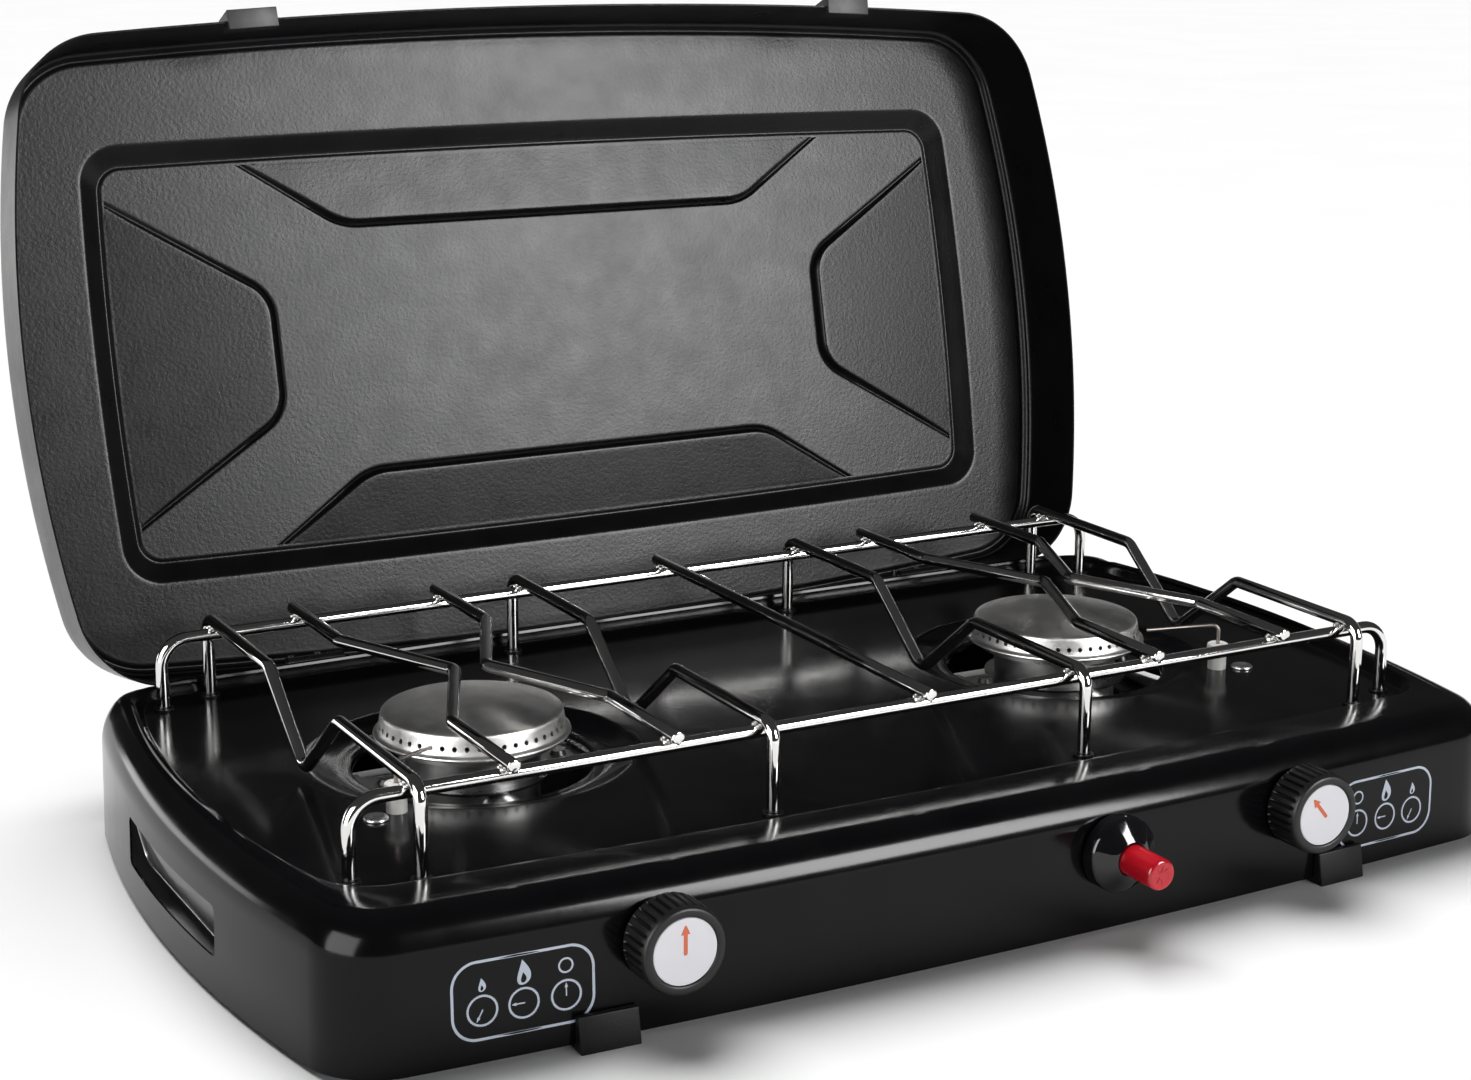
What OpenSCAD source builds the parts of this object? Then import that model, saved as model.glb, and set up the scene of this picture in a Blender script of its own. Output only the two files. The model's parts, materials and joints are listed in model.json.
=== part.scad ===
// Two-burner camping stove with a hinged lid, a lift-off wire grate,
// two gas taps and a piezo igniter. Millimetres, +Z up, front towards -Y.
// Heights inside the modules count from the worktop, and depths from the
// line through both burners; stove() carries both to the origin, which is
// the middle of the open stove's footprint on the ground.

/* [Body] */
// Half the body's width at the lower edge
body_half_w = 265; // [255:1:275]
// Burner line to the front panel
body_front = 163; // [158:1:168]
// Burner line to the rear wall
body_rear = 130; // [129:0.5:131]
// Worktop down to the lower edge of the walls
wall_h = 49; // [46:1:54]
// Corner radius seen from above
corner_r = 28; // [20:1:34]
// How far each side wall bows outwards
side_bow = 11; // [6:1:14]
// How far the front panel bows outwards
front_bow = 7; // [3:1:9]
// Sheet steel thickness as modelled
sheet = 1; // [0.8:0.1:1.2]

/* [Worktop] */
// Height of the rolled shoulder above the worktop
crest_h = 5; // [3:0.5:6]
// Half the flat worktop's width
pan_half_w = 247; // [242:1:249]
// Burner line to the worktop's front edge
pan_front = 126.5; // [122:0.5:129]
// Burner line to the worktop's rear edge
pan_rear = 120; // [119.5:0.1:120.2]
// Burner centre, either side of the middle
burner_x = 137; // [130:1:142]
// Radius of the drip dish round a burner
dish_r = 62; // [58:1:64]

/* [Grate] */
// Wire diameter
wire_d = 5; // [4.5:0.1:5.2]
// Burner line to each rail
rail_y = 105; // [103:0.5:106]
// Height of the bars' centre lines
bar_z = 33.6; // [32:0.1:35]
// Half spacing of the rail end posts
post_x = 226.9; // [224:0.1:229]

/* [Lid] */
// Half the lid's width at its rim
lid_half_w = 258.5; // [256:0.5:260]
// Lid size from front rim to rear rim
lid_len = 285; // [283:0.5:286]
// Rim to the flat border inside the lid
lid_depth = 37; // [35:0.5:38]
// Opening angle from closed
lid_angle = 103.4; // [95:0.1:104]

/* [Controls] */
// Radius over the knob's ribs
knob_r = 16; // [15:0.5:17]
// Number of ribs on a knob
knob_ribs = 32; // [24:1:36]
// Tap the right knob is turned by, anticlockwise from off
right_knob_turn = 40; // [0:5:150]

/* [Hidden] */
$fn = 48;
eps = 0.01;
wire_r = wire_d / 2;
bend_r = 7;
rail_bend = 11;
seam = 0.02;
lap = 2;

// Frame: middle of the open stove's footprint, and the ground under the clips
origin_y = 24.5;
clip_drop = 2.2;
floor_z = wall_h + clip_drop;

// Walls lean in by wall_draft up to the shoulder, which rolls over by edge_r
wall_draft = 1;
edge_r = 9;
edge_z = crest_h - edge_r;
rear_bow = 2;
pan_slope = 3;

// Grate: bars by half spacing, measured from the middle
leg_bar_x = [68.8, 204.5];
leg_y = 114.2;
free_y = 111.8;
notch_y = 37.8;
notch_z = 3.6;
inner_bar = [105.8, 130.7];
outer_bar = [168.8, 143.7];
bend_y = 57.5;
weld_sink = 0.3;
rail_z = bar_z - wire_d + weld_sink;
leg_foot_z = -7;
leg_gap = 0.3;
collar_r = 4;

// Burner
dish_depth = 4;
dish_floor_r = 52;
dish_hole_r = 46;
cup_r = 26;
cup_top = 6;
cup_bottom = -26;
flange_r = 38;
flange_z = 8;
dome_r = 35.3;
dome_z = 17.5;
dome_h = 4;
port_count = 44;
port_r = 1.1;

// Taps, on the burners' own centre lines
tap_z = -16.1;
panel_y = -160.3;
stem_r = 3;
knob_face_y = -176.5;
knob_back_y = -161.4;
pipe_z = -32;
pipe_y = -142;
pipe_r = 4;
pipe_bend = 14;
inlet_x = 200;
inlet_r = 6.5;
inlet_end_y = 151;

// Igniter
ign_x = 48;
ign_z = -18.5;
ign_tip_y = -191.5;
ign_r = 5.9;
ign_gap = 0.08;
ign_travel = 6;

// Electrodes beside the burners
spark_x = 187.4;
spark_y = -48.3;
spark_r = 4;
rivet_x = 197.2;
rivet_y = -53;

// Lid, drawn closed and turned open about the hinge
hinge_y = 131.7;
hinge_z = 2.6;
hinge_x = 153;
hinge_w = 25;
barrel_r = 3;
pin_r = 1.25;
knuckle_w = 8.4;
stud_z = 16;
rim_z = 7.5;
lid_rear = 140.75;
lid_front = lid_len - lid_rear;
lid_side_bow = 9;
lid_end_bow = 7.5;
lid_corner_r = 38;
panel_rise = 5;
panel_half_w = [221.8, 211];
panel_half_d = [97.9, 86.5];
panel_corner_r = 14;

// Plastic clips on the body's lower edge and on the lid's rim
clip_w = 22;
foot_x = 156;
lid_clip_x = 147;
clip_h = 15;
clip_gap = 0.3;

// Grips in the side walls
grip_y0 = -66;
grip_y1 = 35;
grip_z0 = -35;
grip_z1 = -16;
grip_depth = 11;

// ---- Helpers ----

// Carries heights from the worktop and depths from the burner line to the origin
module stove() {
  translate([0, -origin_y, floor_z]) children();
}

// Carries a part drawn on the closed lid to the open position
module lid_open() {
  stove()
    translate([0, hinge_y, hinge_z])
      rotate([-lid_angle, 0, 0])
        translate([0, -hinge_y, -hinge_z]) children();
}

// Interior points of one bowed side, as fractions of its half length
side_t = [-0.8, -0.4, 0, 0.4, 0.8];
corner_steps = 6;

// Quarter turn about c from angle a0 to a1
function arc(c, r, a0, a1) = [
  for (i = [0 : corner_steps]) let(a = a0 + (a1 - a0) * i / corner_steps)
    c + r * [cos(a), sin(a)]
];

// Rectangle with four bowed sides that run tangent into round corners
module bowed(half_w, front, rear, bow_side, bow_front, bow_rear, r) {
  mid = (rear - front) / 2;
  half_d = (rear + front) / 2 - r;
  wc = half_w - r - bow_side;
  yf = mid - half_d + bow_front;
  yr = mid + half_d - bow_rear;
  side_tilt = atan(2 * bow_side / half_d);
  front_tilt = atan(2 * bow_front / wc);
  rear_tilt = atan(2 * bow_rear / wc);
  ym = (yf + yr) / 2;
  yh = (yr - yf) / 2;
  polygon(concat(
    arc([-wc, yf], r, 180 + side_tilt, 270 - front_tilt),
    [for (t = side_t) [wc * t, yf - r - bow_front * (1 - t * t)]],
    arc([wc, yf], r, 270 + front_tilt, 360 - side_tilt),
    [for (t = side_t) [wc + r + bow_side * (1 - t * t), ym + yh * t]],
    arc([wc, yr], r, side_tilt, 90 - rear_tilt),
    [for (t = side_t) [-wc * t, yr + r + bow_rear * (1 - t * t)]],
    arc([-wc, yr], r, 90 + rear_tilt, 180 - side_tilt),
    [for (t = side_t) [-wc - r - bow_side * (1 - t * t), ym - yh * t]]
  ));
}

module body_outline(inset = 0) {
  bowed(body_half_w - inset, body_front - inset, body_rear - inset,
    side_bow, front_bow, rear_bow, max(corner_r - inset, 2));
}

module pan_outline(grow = 0) {
  bowed(pan_half_w + grow, pan_front + grow, pan_rear + grow / 2,
    side_bow, front_bow - 1, rear_bow, 20 + grow);
}

module lid_outline(inset = 0) {
  bowed(lid_half_w - inset, lid_front - inset, lid_rear - inset,
    lid_side_bow, lid_end_bow, lid_end_bow, lid_corner_r - inset);
}

module slab(z) {
  translate([0, 0, z]) linear_extrude(eps) children();
}

// Straight wire from p to q
module wire(p, q, r = wire_r) {
  d = q - p;
  translate(p)
    rotate([0, acos(d[2] / norm(d)), atan2(d[1], d[0])]) cylinder(r = r, h = norm(d));
}

function unit(v) = v / norm(v);
function turn_at(pts, i) = acos(unit(pts[i] - pts[i - 1]) * unit(pts[i + 1] - pts[i]));
// Length of straight wire a bend at point i takes up on either side
function bend_cut(pts, i, bend) =
  i == 0 || i == len(pts) - 1 ? 0 : bend * tan(turn_at(pts, i) / 2);

// Round bend at point i, a sector of a ring in the plane of its two neighbours;
// a hair thinner than the straights and reaching a little way into them
module elbow(pts, i, r, bend) {
  along = unit(pts[i] - pts[i - 1]);
  normal = unit(cross(along, pts[i + 1] - pts[i]));
  out = cross(along, normal);
  start = pts[i] - along * bend_cut(pts, i, bend);
  mid = start - out * bend;
  multmatrix([
    [out[0], along[0], normal[0], mid[0]],
    [out[1], along[1], normal[1], mid[1]],
    [out[2], along[2], normal[2], mid[2]],
    [0, 0, 0, 1]
  ]) rotate([0, 0, -lap]) rotate_extrude(angle = turn_at(pts, i) + 2 * lap)
    translate([bend, 0]) circle(r = r - seam);
}

module bent_wire(pts, r = wire_r, bend = bend_r) {
  for (i = [0 : len(pts) - 2]) {
    d = unit(pts[i + 1] - pts[i]);
    wire(pts[i] + d * bend_cut(pts, i, bend), pts[i + 1] - d * bend_cut(pts, i + 1, bend), r);
  }
  for (i = [1 : len(pts) - 2]) elbow(pts, i, r, bend);
}

// A round bar along Y
module along_y(y0, y1, r) {
  translate([0, y0, 0]) rotate([-90, 0, 0]) cylinder(r = r, h = y1 - y0);
}

module both_sides() {
  children();
  mirror([1, 0, 0]) children();
}

// ---- Body ----

// Everything inside the walls' outer faces, or inside the sheet when inset
module body_form(inset) {
  hull() {
    slab(-wall_h - (inset > 0 ? 1 : 0)) body_outline(inset);
    for (a = [0 : 18 : 90])
      slab(edge_z + (edge_r - inset) * sin(a))
        body_outline(wall_draft + inset + (edge_r - inset) * (1 - cos(a)));
  }
}

leg_spots = concat(
  [for (x = leg_bar_x, sx = [-1, 1], sy = [-1, 1]) [sx * x, sy * leg_y]],
  [for (sx = [-1, 1], sy = [-1, 1]) [sx * post_x, sy * rail_y]]
);

module dish(r_top, r_floor, z) {
  translate([0, 0, -z]) cylinder(r1 = r_floor, r2 = r_top, h = z);
}

module base_shell() {
  color([0.03, 0.03, 0.035]) stove() difference() {
    union() {
      difference() {
        body_form(0);
        difference() {
          body_form(sheet);
          hull() {
            slab(-sheet) pan_outline(sheet);
            slab(crest_h) pan_outline(pan_slope + sheet);
          }
        }
        hull() {
          slab(0) pan_outline(0);
          slab(crest_h + eps) pan_outline(pan_slope);
        }
      }
      both_sides() translate([burner_x, 0, -sheet])
        dish(dish_r, dish_floor_r, dish_depth);
    }
    both_sides() translate([burner_x, 0, 0]) {
      dish(dish_r, dish_floor_r, dish_depth);
      translate([0, 0, -dish_depth - 2 * sheet]) cylinder(r = dish_hole_r, h = 4 * sheet);
    }
    for (s = leg_spots)
      translate([s[0], s[1], -2 * sheet]) cylinder(r = wire_r + leg_gap, h = 3 * sheet);
    both_sides() {
      translate([burner_x, 0, tap_z]) along_y(-body_front, -body_front + 10, 5.6);
      translate([spark_x, spark_y, -3]) cylinder(r = spark_r, h = 5);
      translate([rivet_x, rivet_y, -3]) cylinder(r = 2, h = 5);
      for (s = [-6, 6])
        translate([hinge_x + s, 0, -11]) along_y(body_rear - 6, body_rear + 1, 1.7);
      translate([body_half_w - 20, grip_y0, grip_z0])
        cube([30, grip_y1 - grip_y0, grip_z1 - grip_z0]);
    }
    translate([ign_x, 0, ign_z]) along_y(-body_front - 1, -body_front + 10, 9.05);
    translate([inlet_x, 0, pipe_z]) along_y(body_rear - 10, body_rear + 2, 5.05);
  }
}

// Plate set behind the opening in a side wall, leaning inwards towards its foot
module grip_plate() {
  translate([body_half_w - 2.3, grip_y1 - 1, 0])
    rotate([90, 0, 0]) linear_extrude(grip_y1 - grip_y0 - 2)
      polygon([
        [0, grip_z1 - 1], [-1, grip_z1 - 1],
        [-grip_depth - 1, grip_z0 + 1], [-grip_depth, grip_z0 + 1]
      ]);
}

module left_grip_plate() {
  color([0.2, 0.2, 0.21]) stove() mirror([1, 0, 0]) grip_plate();
}

module right_grip_plate() {
  color([0.2, 0.2, 0.21]) stove() grip_plate();
}

// U-shaped clip with a wedge front, its slot open upwards; y = 0 is the sheet's outer face
module edge_clip() {
  translate([-clip_w / 2, 0, 0]) rotate([90, 0, 90]) linear_extrude(clip_w)
    polygon([
      [-0.1, clip_h - clip_drop], [-2.6, clip_h - clip_drop], [-5, -clip_drop],
      [3.4, -clip_drop], [3.4, 6], [sheet + 0.9, 6], [sheet + 0.9, 0], [-0.1, 0]
    ]);
}

// Depth and direction of a bowed wall at a distance from the middle
function bow_y(x, depth, bow, half) = depth - bow * pow(x / half, 2);
function bow_angle(x, bow, half) = atan(2 * bow * x / pow(half, 2));
body_half = body_half_w - corner_r - side_bow;

module foot_clips() {
  front_y = -bow_y(foot_x, body_front, front_bow, body_half);
  rear_y = bow_y(foot_x, body_rear, rear_bow, body_half);
  color([0.06, 0.06, 0.06]) stove() both_sides() {
    translate([foot_x, front_y - clip_gap, -wall_h])
      rotate([0, 0, bow_angle(foot_x, front_bow, body_half)]) edge_clip();
    translate([foot_x, rear_y + clip_gap, -wall_h])
      rotate([0, 0, -bow_angle(foot_x, rear_bow, body_half)]) mirror([0, 1, 0]) edge_clip();
  }
}

module leg_collars() {
  color([0.05, 0.05, 0.05]) stove()
    for (s = leg_spots) translate([s[0], s[1], 0]) difference() {
      cylinder(r = collar_r, h = 0.8);
      translate([0, 0, -1]) cylinder(r = wire_r + leg_gap, h = 3);
    }
}

// ---- Grate ----

module rail(s) {
  color([0.85, 0.85, 0.87]) stove() bent_wire([
    [-post_x, s * rail_y, leg_foot_z], [-post_x, s * rail_y, rail_z],
    [post_x, s * rail_y, rail_z], [post_x, s * rail_y, leg_foot_z]
  ], wire_r, rail_bend);
}

// Bar with a leg at each end and a dip over the worktop's middle line
module leg_bar(x) {
  color([0.85, 0.85, 0.87]) stove() bent_wire([
    [x, -leg_y, leg_foot_z], [x, -leg_y, bar_z], [x, -notch_y, bar_z], [x, 0, notch_z],
    [x, notch_y, bar_z], [x, leg_y, bar_z], [x, leg_y, leg_foot_z]
  ]);
}

// Bar with free ends that bends to its burner's middle
module free_bar(x, apex) {
  color([0.85, 0.85, 0.87]) stove() bent_wire([
    [x, -free_y, bar_z], [x, -bend_y, bar_z], [apex, 0, bar_z],
    [x, bend_y, bar_z], [x, free_y, bar_z]
  ]);
}

module front_rail() { rail(-1); }
module rear_rail() { rail(1); }
module bar_1() { leg_bar(-leg_bar_x[1]); }
module bar_2() { free_bar(-outer_bar[0], -outer_bar[1]); }
module bar_3() { free_bar(-inner_bar[0], -inner_bar[1]); }
module bar_4() { leg_bar(-leg_bar_x[0]); }
module bar_5() {
  color([0.85, 0.85, 0.87]) stove() wire([0, -free_y, bar_z], [0, free_y, bar_z]);
}
module bar_6() { leg_bar(leg_bar_x[0]); }
module bar_7() { free_bar(inner_bar[0], inner_bar[1]); }
module bar_8() { free_bar(outer_bar[0], outer_bar[1]); }
module bar_9() { leg_bar(leg_bar_x[1]); }

// ---- Burners ----

// Domed cap with a ring of flame ports in its flared skirt
module burner_cap(s) {
  color([0.72, 0.72, 0.72]) stove() translate([s * burner_x, 0, 0]) difference() {
    rotate_extrude() polygon([
      [0, dome_z + dome_h], [dome_r * 0.4, dome_z + dome_h * 0.88],
      [dome_r * 0.75, dome_z + dome_h * 0.5], [dome_r - 0.8, dome_z + 0.6], [dome_r, dome_z - 0.4],
      [flange_r - 1.2, flange_z + 1.4], [flange_r, flange_z + 1.2], [flange_r, flange_z],
      [flange_r - 2.4, flange_z], [dome_r - 1.2, dome_z - 1.4], [0, dome_z + dome_h - 2]
    ]);
    for (i = [0 : port_count - 1])
      rotate([0, 0, (i + 0.5) * 360 / port_count]) translate([0, 0, (flange_z + dome_z) / 2])
        translate([flange_r - 8, 0, 0]) rotate([0, 90, 0]) cylinder(r = port_r, h = 10);
  }
}

// Stepped cup under the cap, closed at the bottom
module burner_cup(s) {
  color([0.35, 0.35, 0.36]) stove() translate([s * burner_x, 0, 0]) difference() {
    rotate_extrude() polygon([
      [0, cup_bottom], [cup_r, cup_bottom], [cup_r, cup_top - 2.5], [flange_r - 5, cup_top - 1],
      [flange_r - 5, cup_top], [flange_r - 2.8, cup_top + 0.8], [flange_r - 2.8, flange_z],
      [flange_r - 4.2, flange_z], [flange_r - 5.6, cup_top + 1], [cup_r - 1, cup_top],
      [cup_r - 1, cup_bottom + 1], [0, cup_bottom + 1]
    ]);
    translate([0, 0, tap_z]) along_y(-cup_r - 2, -cup_r + 6, 8);
  }
}

// Venturi tube from the injector to the cup
module mixing_tube(s) {
  color([0.5, 0.5, 0.52]) stove() translate([s * burner_x, 0, tap_z]) rotate([90, 0, 0])
    rotate_extrude() polygon([
      [7, cup_r - 4], [8, cup_r - 4], [8, cup_r + 40], [7.4, cup_r + 55], [9, cup_r + 72],
      [8, cup_r + 72], [6.4, cup_r + 55], [7, cup_r + 40]
    ]);
}

// Strap across the dish opening that carries the cup
module burner_bracket(s) {
  span = dish_floor_r - 2;
  low = dish_depth + sheet + 2;
  color([0.15, 0.15, 0.16]) stove() translate([s * burner_x, 0, 0]) difference() {
    union() {
      translate([-span, -9, -dish_depth - 2 * sheet]) cube([6, 18, sheet]);
      translate([span - 6, -9, -dish_depth - 2 * sheet]) cube([6, 18, sheet]);
      translate([-span + 5, -9, -low - 1]) cube([1, 18, 3]);
      translate([span - 6, -9, -low - 1]) cube([1, 18, 3]);
      translate([-span + 5, -9, -low - 1]) cube([2 * span - 10, 18, sheet]);
      translate([0, 0, -low - 1]) cylinder(r = cup_r + 4, h = sheet);
    }
    translate([0, 0, -low - 2]) cylinder(r = cup_r, h = 5);
    for (x = [-36, 36]) translate([x, 0, -low - 2]) cylinder(r = 2, h = 5);
  }
}

module left_burner_cap() { burner_cap(-1); }
module right_burner_cap() { burner_cap(1); }
module left_burner_cup() { burner_cup(-1); }
module right_burner_cup() { burner_cup(1); }
module left_mixing_tube() { mixing_tube(-1); }
module right_mixing_tube() { mixing_tube(1); }
module left_burner_bracket() { burner_bracket(-1); }
module right_burner_bracket() { burner_bracket(1); }

// Round-head screw, head up, with its head's underside at z = 0
module screw(shank_r, head_r, head_h, length) {
  translate([0, 0, -length]) cylinder(r = shank_r, h = length);
  cylinder(r1 = head_r, r2 = head_r * 0.7, h = head_h);
}

module bracket_screws() {
  low = dish_depth + sheet + 2;
  color([0.7, 0.7, 0.7]) stove() both_sides()
    for (x = [-36, 36]) translate([burner_x + x, 0, -low]) screw(2, 3.4, 1.8, 4);
}

// ---- Electrodes ----

module electrode_ceramic() {
  translate([spark_x, spark_y, 0]) difference() {
    union() {
      translate([0, 0, -12]) cylinder(r = spark_r, h = 23);
      translate([0, 0, 8]) cylinder(r = spark_r + 0.6, h = 2);
    }
    translate([0, 0, -13]) cylinder(r = 0.8, h = 25);
  }
}

// Pin up through the ceramic, then level towards the flame ports
module electrode_wire() {
  aim = [burner_x - spark_x, -spark_y, 0];
  reach = norm(aim) - flange_r - 1.5;
  knee = [spark_x, spark_y, 19.3];
  tip = knee + aim / norm(aim) * reach - [0, 0, 5];
  bent_wire([[spark_x, spark_y, -14], knee, tip], 0.8, 2.5);
}

module left_electrode_ceramic() {
  color([0.93, 0.92, 0.9]) stove() mirror([1, 0, 0]) electrode_ceramic();
}
module right_electrode_ceramic() { color([0.93, 0.92, 0.9]) stove() electrode_ceramic(); }
module left_electrode_wire() {
  color([0.5, 0.47, 0.45]) stove() mirror([1, 0, 0]) electrode_wire();
}
module right_electrode_wire() { color([0.5, 0.47, 0.45]) stove() electrode_wire(); }

module electrode_plates() {
  color([0.5, 0.5, 0.52]) stove() both_sides() difference() {
    translate([spark_x - 6, rivet_y - 5, -2.2]) cube([21, 16, 1.2]);
    translate([spark_x, spark_y, -5]) cylinder(r = spark_r, h = 5);
    translate([rivet_x, rivet_y, -5]) cylinder(r = 2, h = 5);
  }
}

module electrode_rivets() {
  color([0.75, 0.75, 0.75]) stove() both_sides() translate([rivet_x, rivet_y, 0]) {
    screw(2, 4.6, 1.4, 2.2);
    translate([0, 0, -3.4]) cylinder(r = 3, h = 1.2);
  }
}

// ---- Gas path ----

module injector(s) {
  color([0.78, 0.6, 0.3]) stove() translate([s * burner_x, 0, tap_z]) difference() {
    union() {
      along_y(-130, -124, 5);
      along_y(-124, -106, 3);
    }
    along_y(-131, -105, 0.8);
  }
}

// Tap with a socket for its stem, a neck through the panel and a saddle on the pipe
module valve_body(s) {
  color([0.75, 0.58, 0.3]) stove() translate([s * burner_x, 0, tap_z]) difference() {
    union() {
      along_y(panel_y - 0.6, -158, 5.5);
      along_y(-158, -130, 9);
      translate([0, pipe_y, pipe_z - tap_z + pipe_r]) cylinder(r = 6, h = 10);
    }
    along_y(panel_y - 2, -146, stem_r + 0.05);
  }
}

module valve_stem(s) {
  color([0.7, 0.7, 0.72]) stove() translate([s * burner_x, 0, tap_z])
    along_y(-172, -147, stem_r);
}

module gas_pipe() {
  color([0.75, 0.75, 0.77]) stove() difference() {
    bent_wire([
      [-burner_x - 12, pipe_y, pipe_z], [inlet_x, pipe_y, pipe_z],
      [inlet_x, body_rear - 8, pipe_z]
    ], pipe_r, pipe_bend);
    bent_wire([
      [-burner_x - 8, pipe_y, pipe_z], [inlet_x, pipe_y, pipe_z],
      [inlet_x, body_rear - 6, pipe_z]
    ], pipe_r - 1, pipe_bend);
  }
}

// Union that the gas hose screws on to, behind the rear wall
module inlet_connector() {
  color([0.78, 0.6, 0.3]) stove() translate([inlet_x, 0, pipe_z]) difference() {
    union() {
      along_y(body_rear - 8, body_rear + 2, 5);
      translate([0, body_rear + 0.2, 0]) rotate([-90, 0, 0]) cylinder(r = 9, h = 5, $fn = 6);
      along_y(body_rear + 5.2, inlet_end_y, inlet_r);
    }
    along_y(body_rear - 9, inlet_end_y + 1, 3);
  }
}

module inlet_nut() {
  color([0.78, 0.6, 0.3]) stove() translate([inlet_x, body_rear - 6.2, pipe_z])
    rotate([-90, 0, 0]) difference() {
      cylinder(r = 8.5, h = 3, $fn = 6);
      translate([0, 0, -1]) cylinder(r = 5, h = 5);
    }
}

module left_injector() { injector(-1); }
module right_injector() { injector(1); }
module left_valve_body() { valve_body(-1); }
module right_valve_body() { valve_body(1); }
module left_valve_stem() { valve_stem(-1); }
module right_valve_stem() { valve_stem(1); }

// ---- Knobs ----

module knob(s, turn) {
  depth = knob_face_y - knob_back_y;
  color([0.07, 0.07, 0.07]) stove() translate([s * burner_x, 0, tap_z])
    rotate([0, -turn, 0]) difference() {
      union() {
        along_y(knob_face_y + 1, knob_back_y, knob_r - 1);
        along_y(knob_face_y, knob_face_y + 1.4, knob_r - 1.2);
        for (i = [0 : knob_ribs - 1])
          rotate([0, (i + 0.5) * 360 / knob_ribs, 0]) translate([knob_r - 1, 0, 0])
            along_y(knob_face_y + 2.4, knob_back_y, 1);
      }
      along_y(knob_face_y - 1, knob_face_y + 0.8, 12);
      along_y(-172, knob_back_y + 1, stem_r);
      difference() {
        along_y(knob_face_y + 4, knob_back_y + 1, knob_r - 3);
        along_y(knob_face_y + 3, knob_back_y + 1, stem_r + 3);
      }
    }
}

module knob_disc(s) {
  color([0.93, 0.93, 0.94]) stove() translate([s * burner_x, 0, tap_z])
    along_y(knob_face_y + 0.1, knob_face_y + 0.8, 11.9);
}

module left_knob() { knob(-1, 0); }
module right_knob() { knob(1, right_knob_turn); }
module left_knob_disc() { knob_disc(-1); }
module right_knob_disc() { knob_disc(1); }

// ---- Igniter ----

// Cone round the button, screwed on to the piezo body from the front
module igniter_bezel() {
  color([0.02, 0.02, 0.025]) stove() translate([ign_x, 0, ign_z]) rotate([90, 0, 0])
    rotate_extrude() polygon([
      [ign_r + ign_gap, 164.2], [14, 164.2], [14, 168.4], [13.2, 169], [8, 172], [7, 172.2],
      [ign_r + ign_gap, 172.2]
    ]);
}

module igniter_body() {
  color([0.9, 0.9, 0.88]) stove() translate([ign_x, 0, ign_z]) difference() {
    along_y(-164.2, -118, 8);
    along_y(-165, -141, ign_r + ign_gap);
  }
}

module igniter_nut() {
  color([0.8, 0.8, 0.82]) stove() translate([ign_x, 0, ign_z]) rotate([90, 0, 0])
    difference() {
      translate([0, 0, 156.4]) cylinder(r = 12, h = 3, $fn = 6);
      translate([0, 0, 155]) cylinder(r = 8, h = 6);
    }
}

module igniter_button() {
  color([0.7, 0.05, 0.08]) stove() translate([ign_x, 0, ign_z]) {
    along_y(ign_tip_y + 0.6, -148, ign_r);
    translate([0, ign_tip_y, 0]) rotate([-90, 0, 0]) cylinder(r1 = ign_r - 0.6, r2 = ign_r, h = 0.6);
  }
}

lead_r = 1.2;
module spark_lead(s) {
  color([0.75, 0.75, 0.72]) stove() bent_wire([
    [ign_x + 4 * s, -118, ign_z], [ign_x + 4 * s, -100, -30],
    [s * spark_x, -100, -30], [s * spark_x, -56, -24], [s * spark_x, spark_y, -14]
  ], lead_r, 3);
}

module left_spark_lead() { spark_lead(-1); }
module right_spark_lead() { spark_lead(1); }

// ---- Lid, all drawn closed ----

// Lid pressing: outer faces when inset is 0, inner faces when it is the sheet
module lid_form(inset) {
  top = rim_z + lid_depth;
  roll = 8;
  hull() {
    slab(rim_z - (inset > 0 ? 1 : 0)) lid_outline(inset);
    for (a = [0 : 30 : 90])
      slab(top - roll + (roll - inset) * sin(a) + sheet)
        lid_outline(1 + inset + (roll - inset) * (1 - cos(a)));
  }
  hull() {
    slab(top + sheet - inset - 1) lid_panel(0, inset);
    slab(top + panel_rise + sheet - inset) lid_panel(1, inset);
  }
}

module lid_panel(i, inset) {
  mid = (lid_rear - lid_front) / 2;
  translate([0, mid]) bowed(panel_half_w[i] - inset, panel_half_d[i] - inset,
    panel_half_d[i] - inset, 2, 2, 2, panel_corner_r);
}

module lid_shell() {
  color([0.12, 0.12, 0.125]) lid_open() difference() {
    lid_form(0);
    lid_form(sheet);
    both_sides() for (s = [-6, 6])
      translate([hinge_x + s, 0, stud_z]) along_y(lid_rear - 12, lid_rear + 2, 1.6);
  }
}

lid_half = lid_half_w - lid_corner_r - lid_side_bow;

module lid_clips() {
  front_y = -bow_y(lid_clip_x, lid_front, lid_end_bow, lid_half);
  color([0.25, 0.25, 0.26]) lid_open() both_sides()
    translate([lid_clip_x, front_y - clip_gap, rim_z])
      rotate([0, 0, bow_angle(lid_clip_x, lid_end_bow, lid_half)]) edge_clip();
}

// ---- Hinges ----

rear_wall_y = body_rear - 1.2;

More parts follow.
